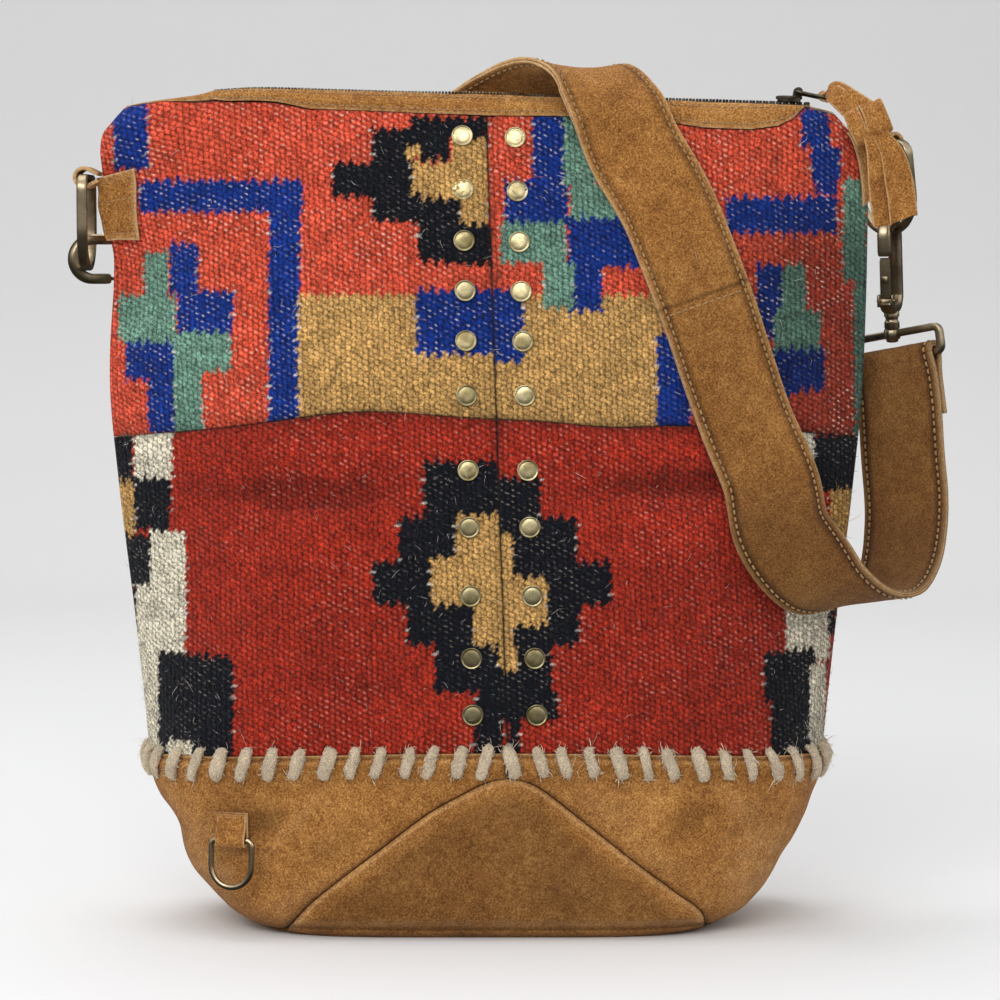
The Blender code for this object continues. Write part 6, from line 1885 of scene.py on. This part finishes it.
def hardware():
    """Rings, tabs, loops and hooks at their places."""
    big = (RING_WIDE, RING_TALL, RING_CORNER, rounded_bar(RING_THIN, RING_THICK, 0.0012, 4))
    d_ring("left_d_ring", "left_ring", "left_ring_body", LEFT_BAR, (0, 0, -1), (0, 1, 0), *big)
    side_tab("left_side_tab", "left_ring_tab", LEFT_BAR, (0, 1, 0), -1, PATCH_DEEP, LEFT_PATCH_RISE)
    turn, swing = math.radians(RIGHT_RING_TURN), math.radians(RIGHT_RING_SWING)
    bar_across = np.array([math.cos(turn), math.sin(turn), 0])
    outward = np.array([math.sin(turn), -math.cos(turn), 0])
    down = outward * math.sin(swing) - np.array([0, 0, 1]) * math.cos(swing)
    d_ring("right_d_ring", "right_ring", "right_ring_body", RIGHT_BAR, down, bar_across, *big)
    side_tab("right_side_tab", "right_ring_tab", RIGHT_BAR, bar_across, 1, RIGHT_PATCH_FRONT, PATCH_RISE)
    rise = COLLAR_LONG + GAP + BOSS_TALL / 2
    across = unit(RIGHT_ACROSS)
    middle, axis = strap_loop("right", RIGHT_FOLD_BAR, upright(across), across, RIGHT_HOOK_AXIS)
    plane = math.radians(RIGHT_HOOK_TURN)
    hook("right", middle + axis * rise, axis, (math.cos(plane), math.sin(plane), 0))
    turn = math.radians(LEFT_HOOK_TURN)
    to_hook = np.array([-math.cos(turn), -math.sin(turn), 0])
    middle, axis = strap_loop("left", LEFT_FOLD_BAR, to_hook, (0, 0, -1), to_hook)
    hook("left", middle + axis * rise, axis, (0, 0, 1))
    corner_ring("lower_left", -0.1180, 0.0480, -1)
    corner_ring("lower_right", 0.1380, 0.0480, 1)


# Studio

def studio():
    """Camera, backdrop, world and lamps."""
    scene = bpy.context.scene
    scene.view_settings.view_transform = "Standard"
    camera = bpy.data.objects.new("camera", bpy.data.cameras.new("camera"))
    scene.collection.objects.link(camera)
    camera.location = (0.00676, -1.6107, 0.33027)
    camera.rotation_euler = (math.radians(85.5), 0, 0)
    camera.data.angle = math.radians(17)
    scene.camera = camera

    depth, bend, back, wide = 1.5, 0.5, 1.4, 3.0
    profile = [(-2.4, 0.0), (0.0, 0.0), (back, 0.0)]
    profile += [(back + bend * math.sin(a), bend - bend * math.cos(a))
                for a in np.radians(np.linspace(8, 90, 12))]
    profile += [(back + bend, depth), (back + bend, 2.6)]
    verts = [(x, y, z) for y, z in profile for x in (-wide, wide)]
    faces = [(2 * k, 2 * k + 1, 2 * k + 3, 2 * k + 2) for k in range(len(profile) - 1)]
    mesh = bpy.data.meshes.new("backdrop")
    mesh.from_pydata(verts, [], faces)
    mesh.shade_smooth()
    floor = bpy.data.objects.new("backdrop", mesh)
    scene.collection.objects.link(floor)
    f = Finish("backdrop", 0.85, specular=0.1)
    height = f.node("SeparateXYZ", {"Vector": f.where()})
    # Painted light: the backdrop a little darker towards the back, and darker up the wall, as the lamps'
    # light falls off.
    far = f.span(height.outputs[1], -0.5, 1.4)
    tone = f.noise(1.6, 1.0)
    base = f.blend(paint(245, 246, 247), paint(243, 243, 243), far)
    base = f.blend(base, paint(231, 231, 231), f.span(height.outputs[2], 0.01, 0.30))
    base = f.blend(base, paint(238, 238, 237), f.times(tone, 0.15))
    # Painted reflection: glossy rays see the backdrop dark grey.
    f.colour(f.blend(base, paint(70, 70, 68), f.node("LightPath").outputs["Is Glossy Ray"]))
    mesh.materials.append(f.made)

    world = bpy.data.worlds.new("studio")
    scene.world = world
    world.use_nodes = True
    tree = world.node_tree
    background = tree.nodes["Background"]
    height = tree.nodes.new("ShaderNodeSeparateXYZ")
    tree.links.new(tree.nodes.new("ShaderNodeTexCoord").outputs["Generated"], height.inputs[0])
    ramp = tree.nodes.new("ShaderNodeValToRGB")
    stops = ramp.color_ramp.elements
    for stop, (place, grey) in zip([stops[0], stops[1], stops.new(0.62)],
                                   ((0.0, 0.25), (1.0, 1.0), (0.62, 0.90))):
        stop.position, stop.color = place, (grey, grey, grey, 1)
    stops.new(0.54).color = (0.25, 0.25, 0.25, 1)
    lift = tree.nodes.new("ShaderNodeMapRange")
    lift.inputs["From Min"].default_value = -1.0
    tree.links.new(height.outputs[2], lift.inputs["Value"])
    tree.links.new(lift.outputs["Result"], ramp.inputs["Fac"])
    tree.links.new(ramp.outputs[0], background.inputs["Color"])
    path = tree.nodes.new("ShaderNodeLightPath")
    strength = tree.nodes.new("ShaderNodeMapRange")
    strength.inputs["To Min"].default_value = 0.60
    strength.inputs["To Max"].default_value = 1.15
    tree.links.new(path.outputs["Is Glossy Ray"], strength.inputs["Value"])
    tree.links.new(strength.outputs["Result"], background.inputs["Strength"])

    for name, place, aim, size, tall, power in (
        ("key", (-0.60, -1.80, 1.45), (0.0, 0.0, 0.20), 2.0, 0.85, 22.0),
        ("fill", (1.60, -0.90, 0.95), (0.0, 0.0, 0.20), 1.2, 1.2, 2.0),
        ("top", (-0.25, 0.25, 2.00), (0.0, 0.0, 0.20), 1.5, 1.2, 14.0),
    ):
        lamp = bpy.data.lights.new(name, "AREA")
        lamp.shape = "RECTANGLE"
        lamp.size, lamp.size_y, lamp.energy = size, tall, power
        light = bpy.data.objects.new(name, lamp)
        light.location = place
        light.rotation_euler = (Vector(aim) - Vector(place)).to_track_quat("-Z", "Y").to_euler()
        scene.collection.objects.link(light)


studio()
kilim()
base_side("base_left_suede", "base_left_panel", LEG_LEFT_X)
base_side("base_right_suede", "base_right_panel", LEG_RIGHT_X)
bottom_panel()
whip_yarn()
facing("front")
facing("back")
studs()
zip_chain()
zip_tape("front")
zip_tape("back")
slider_and_pull()
hardware()
strap_piece, strap_thread, strap_long = strap()
lining()
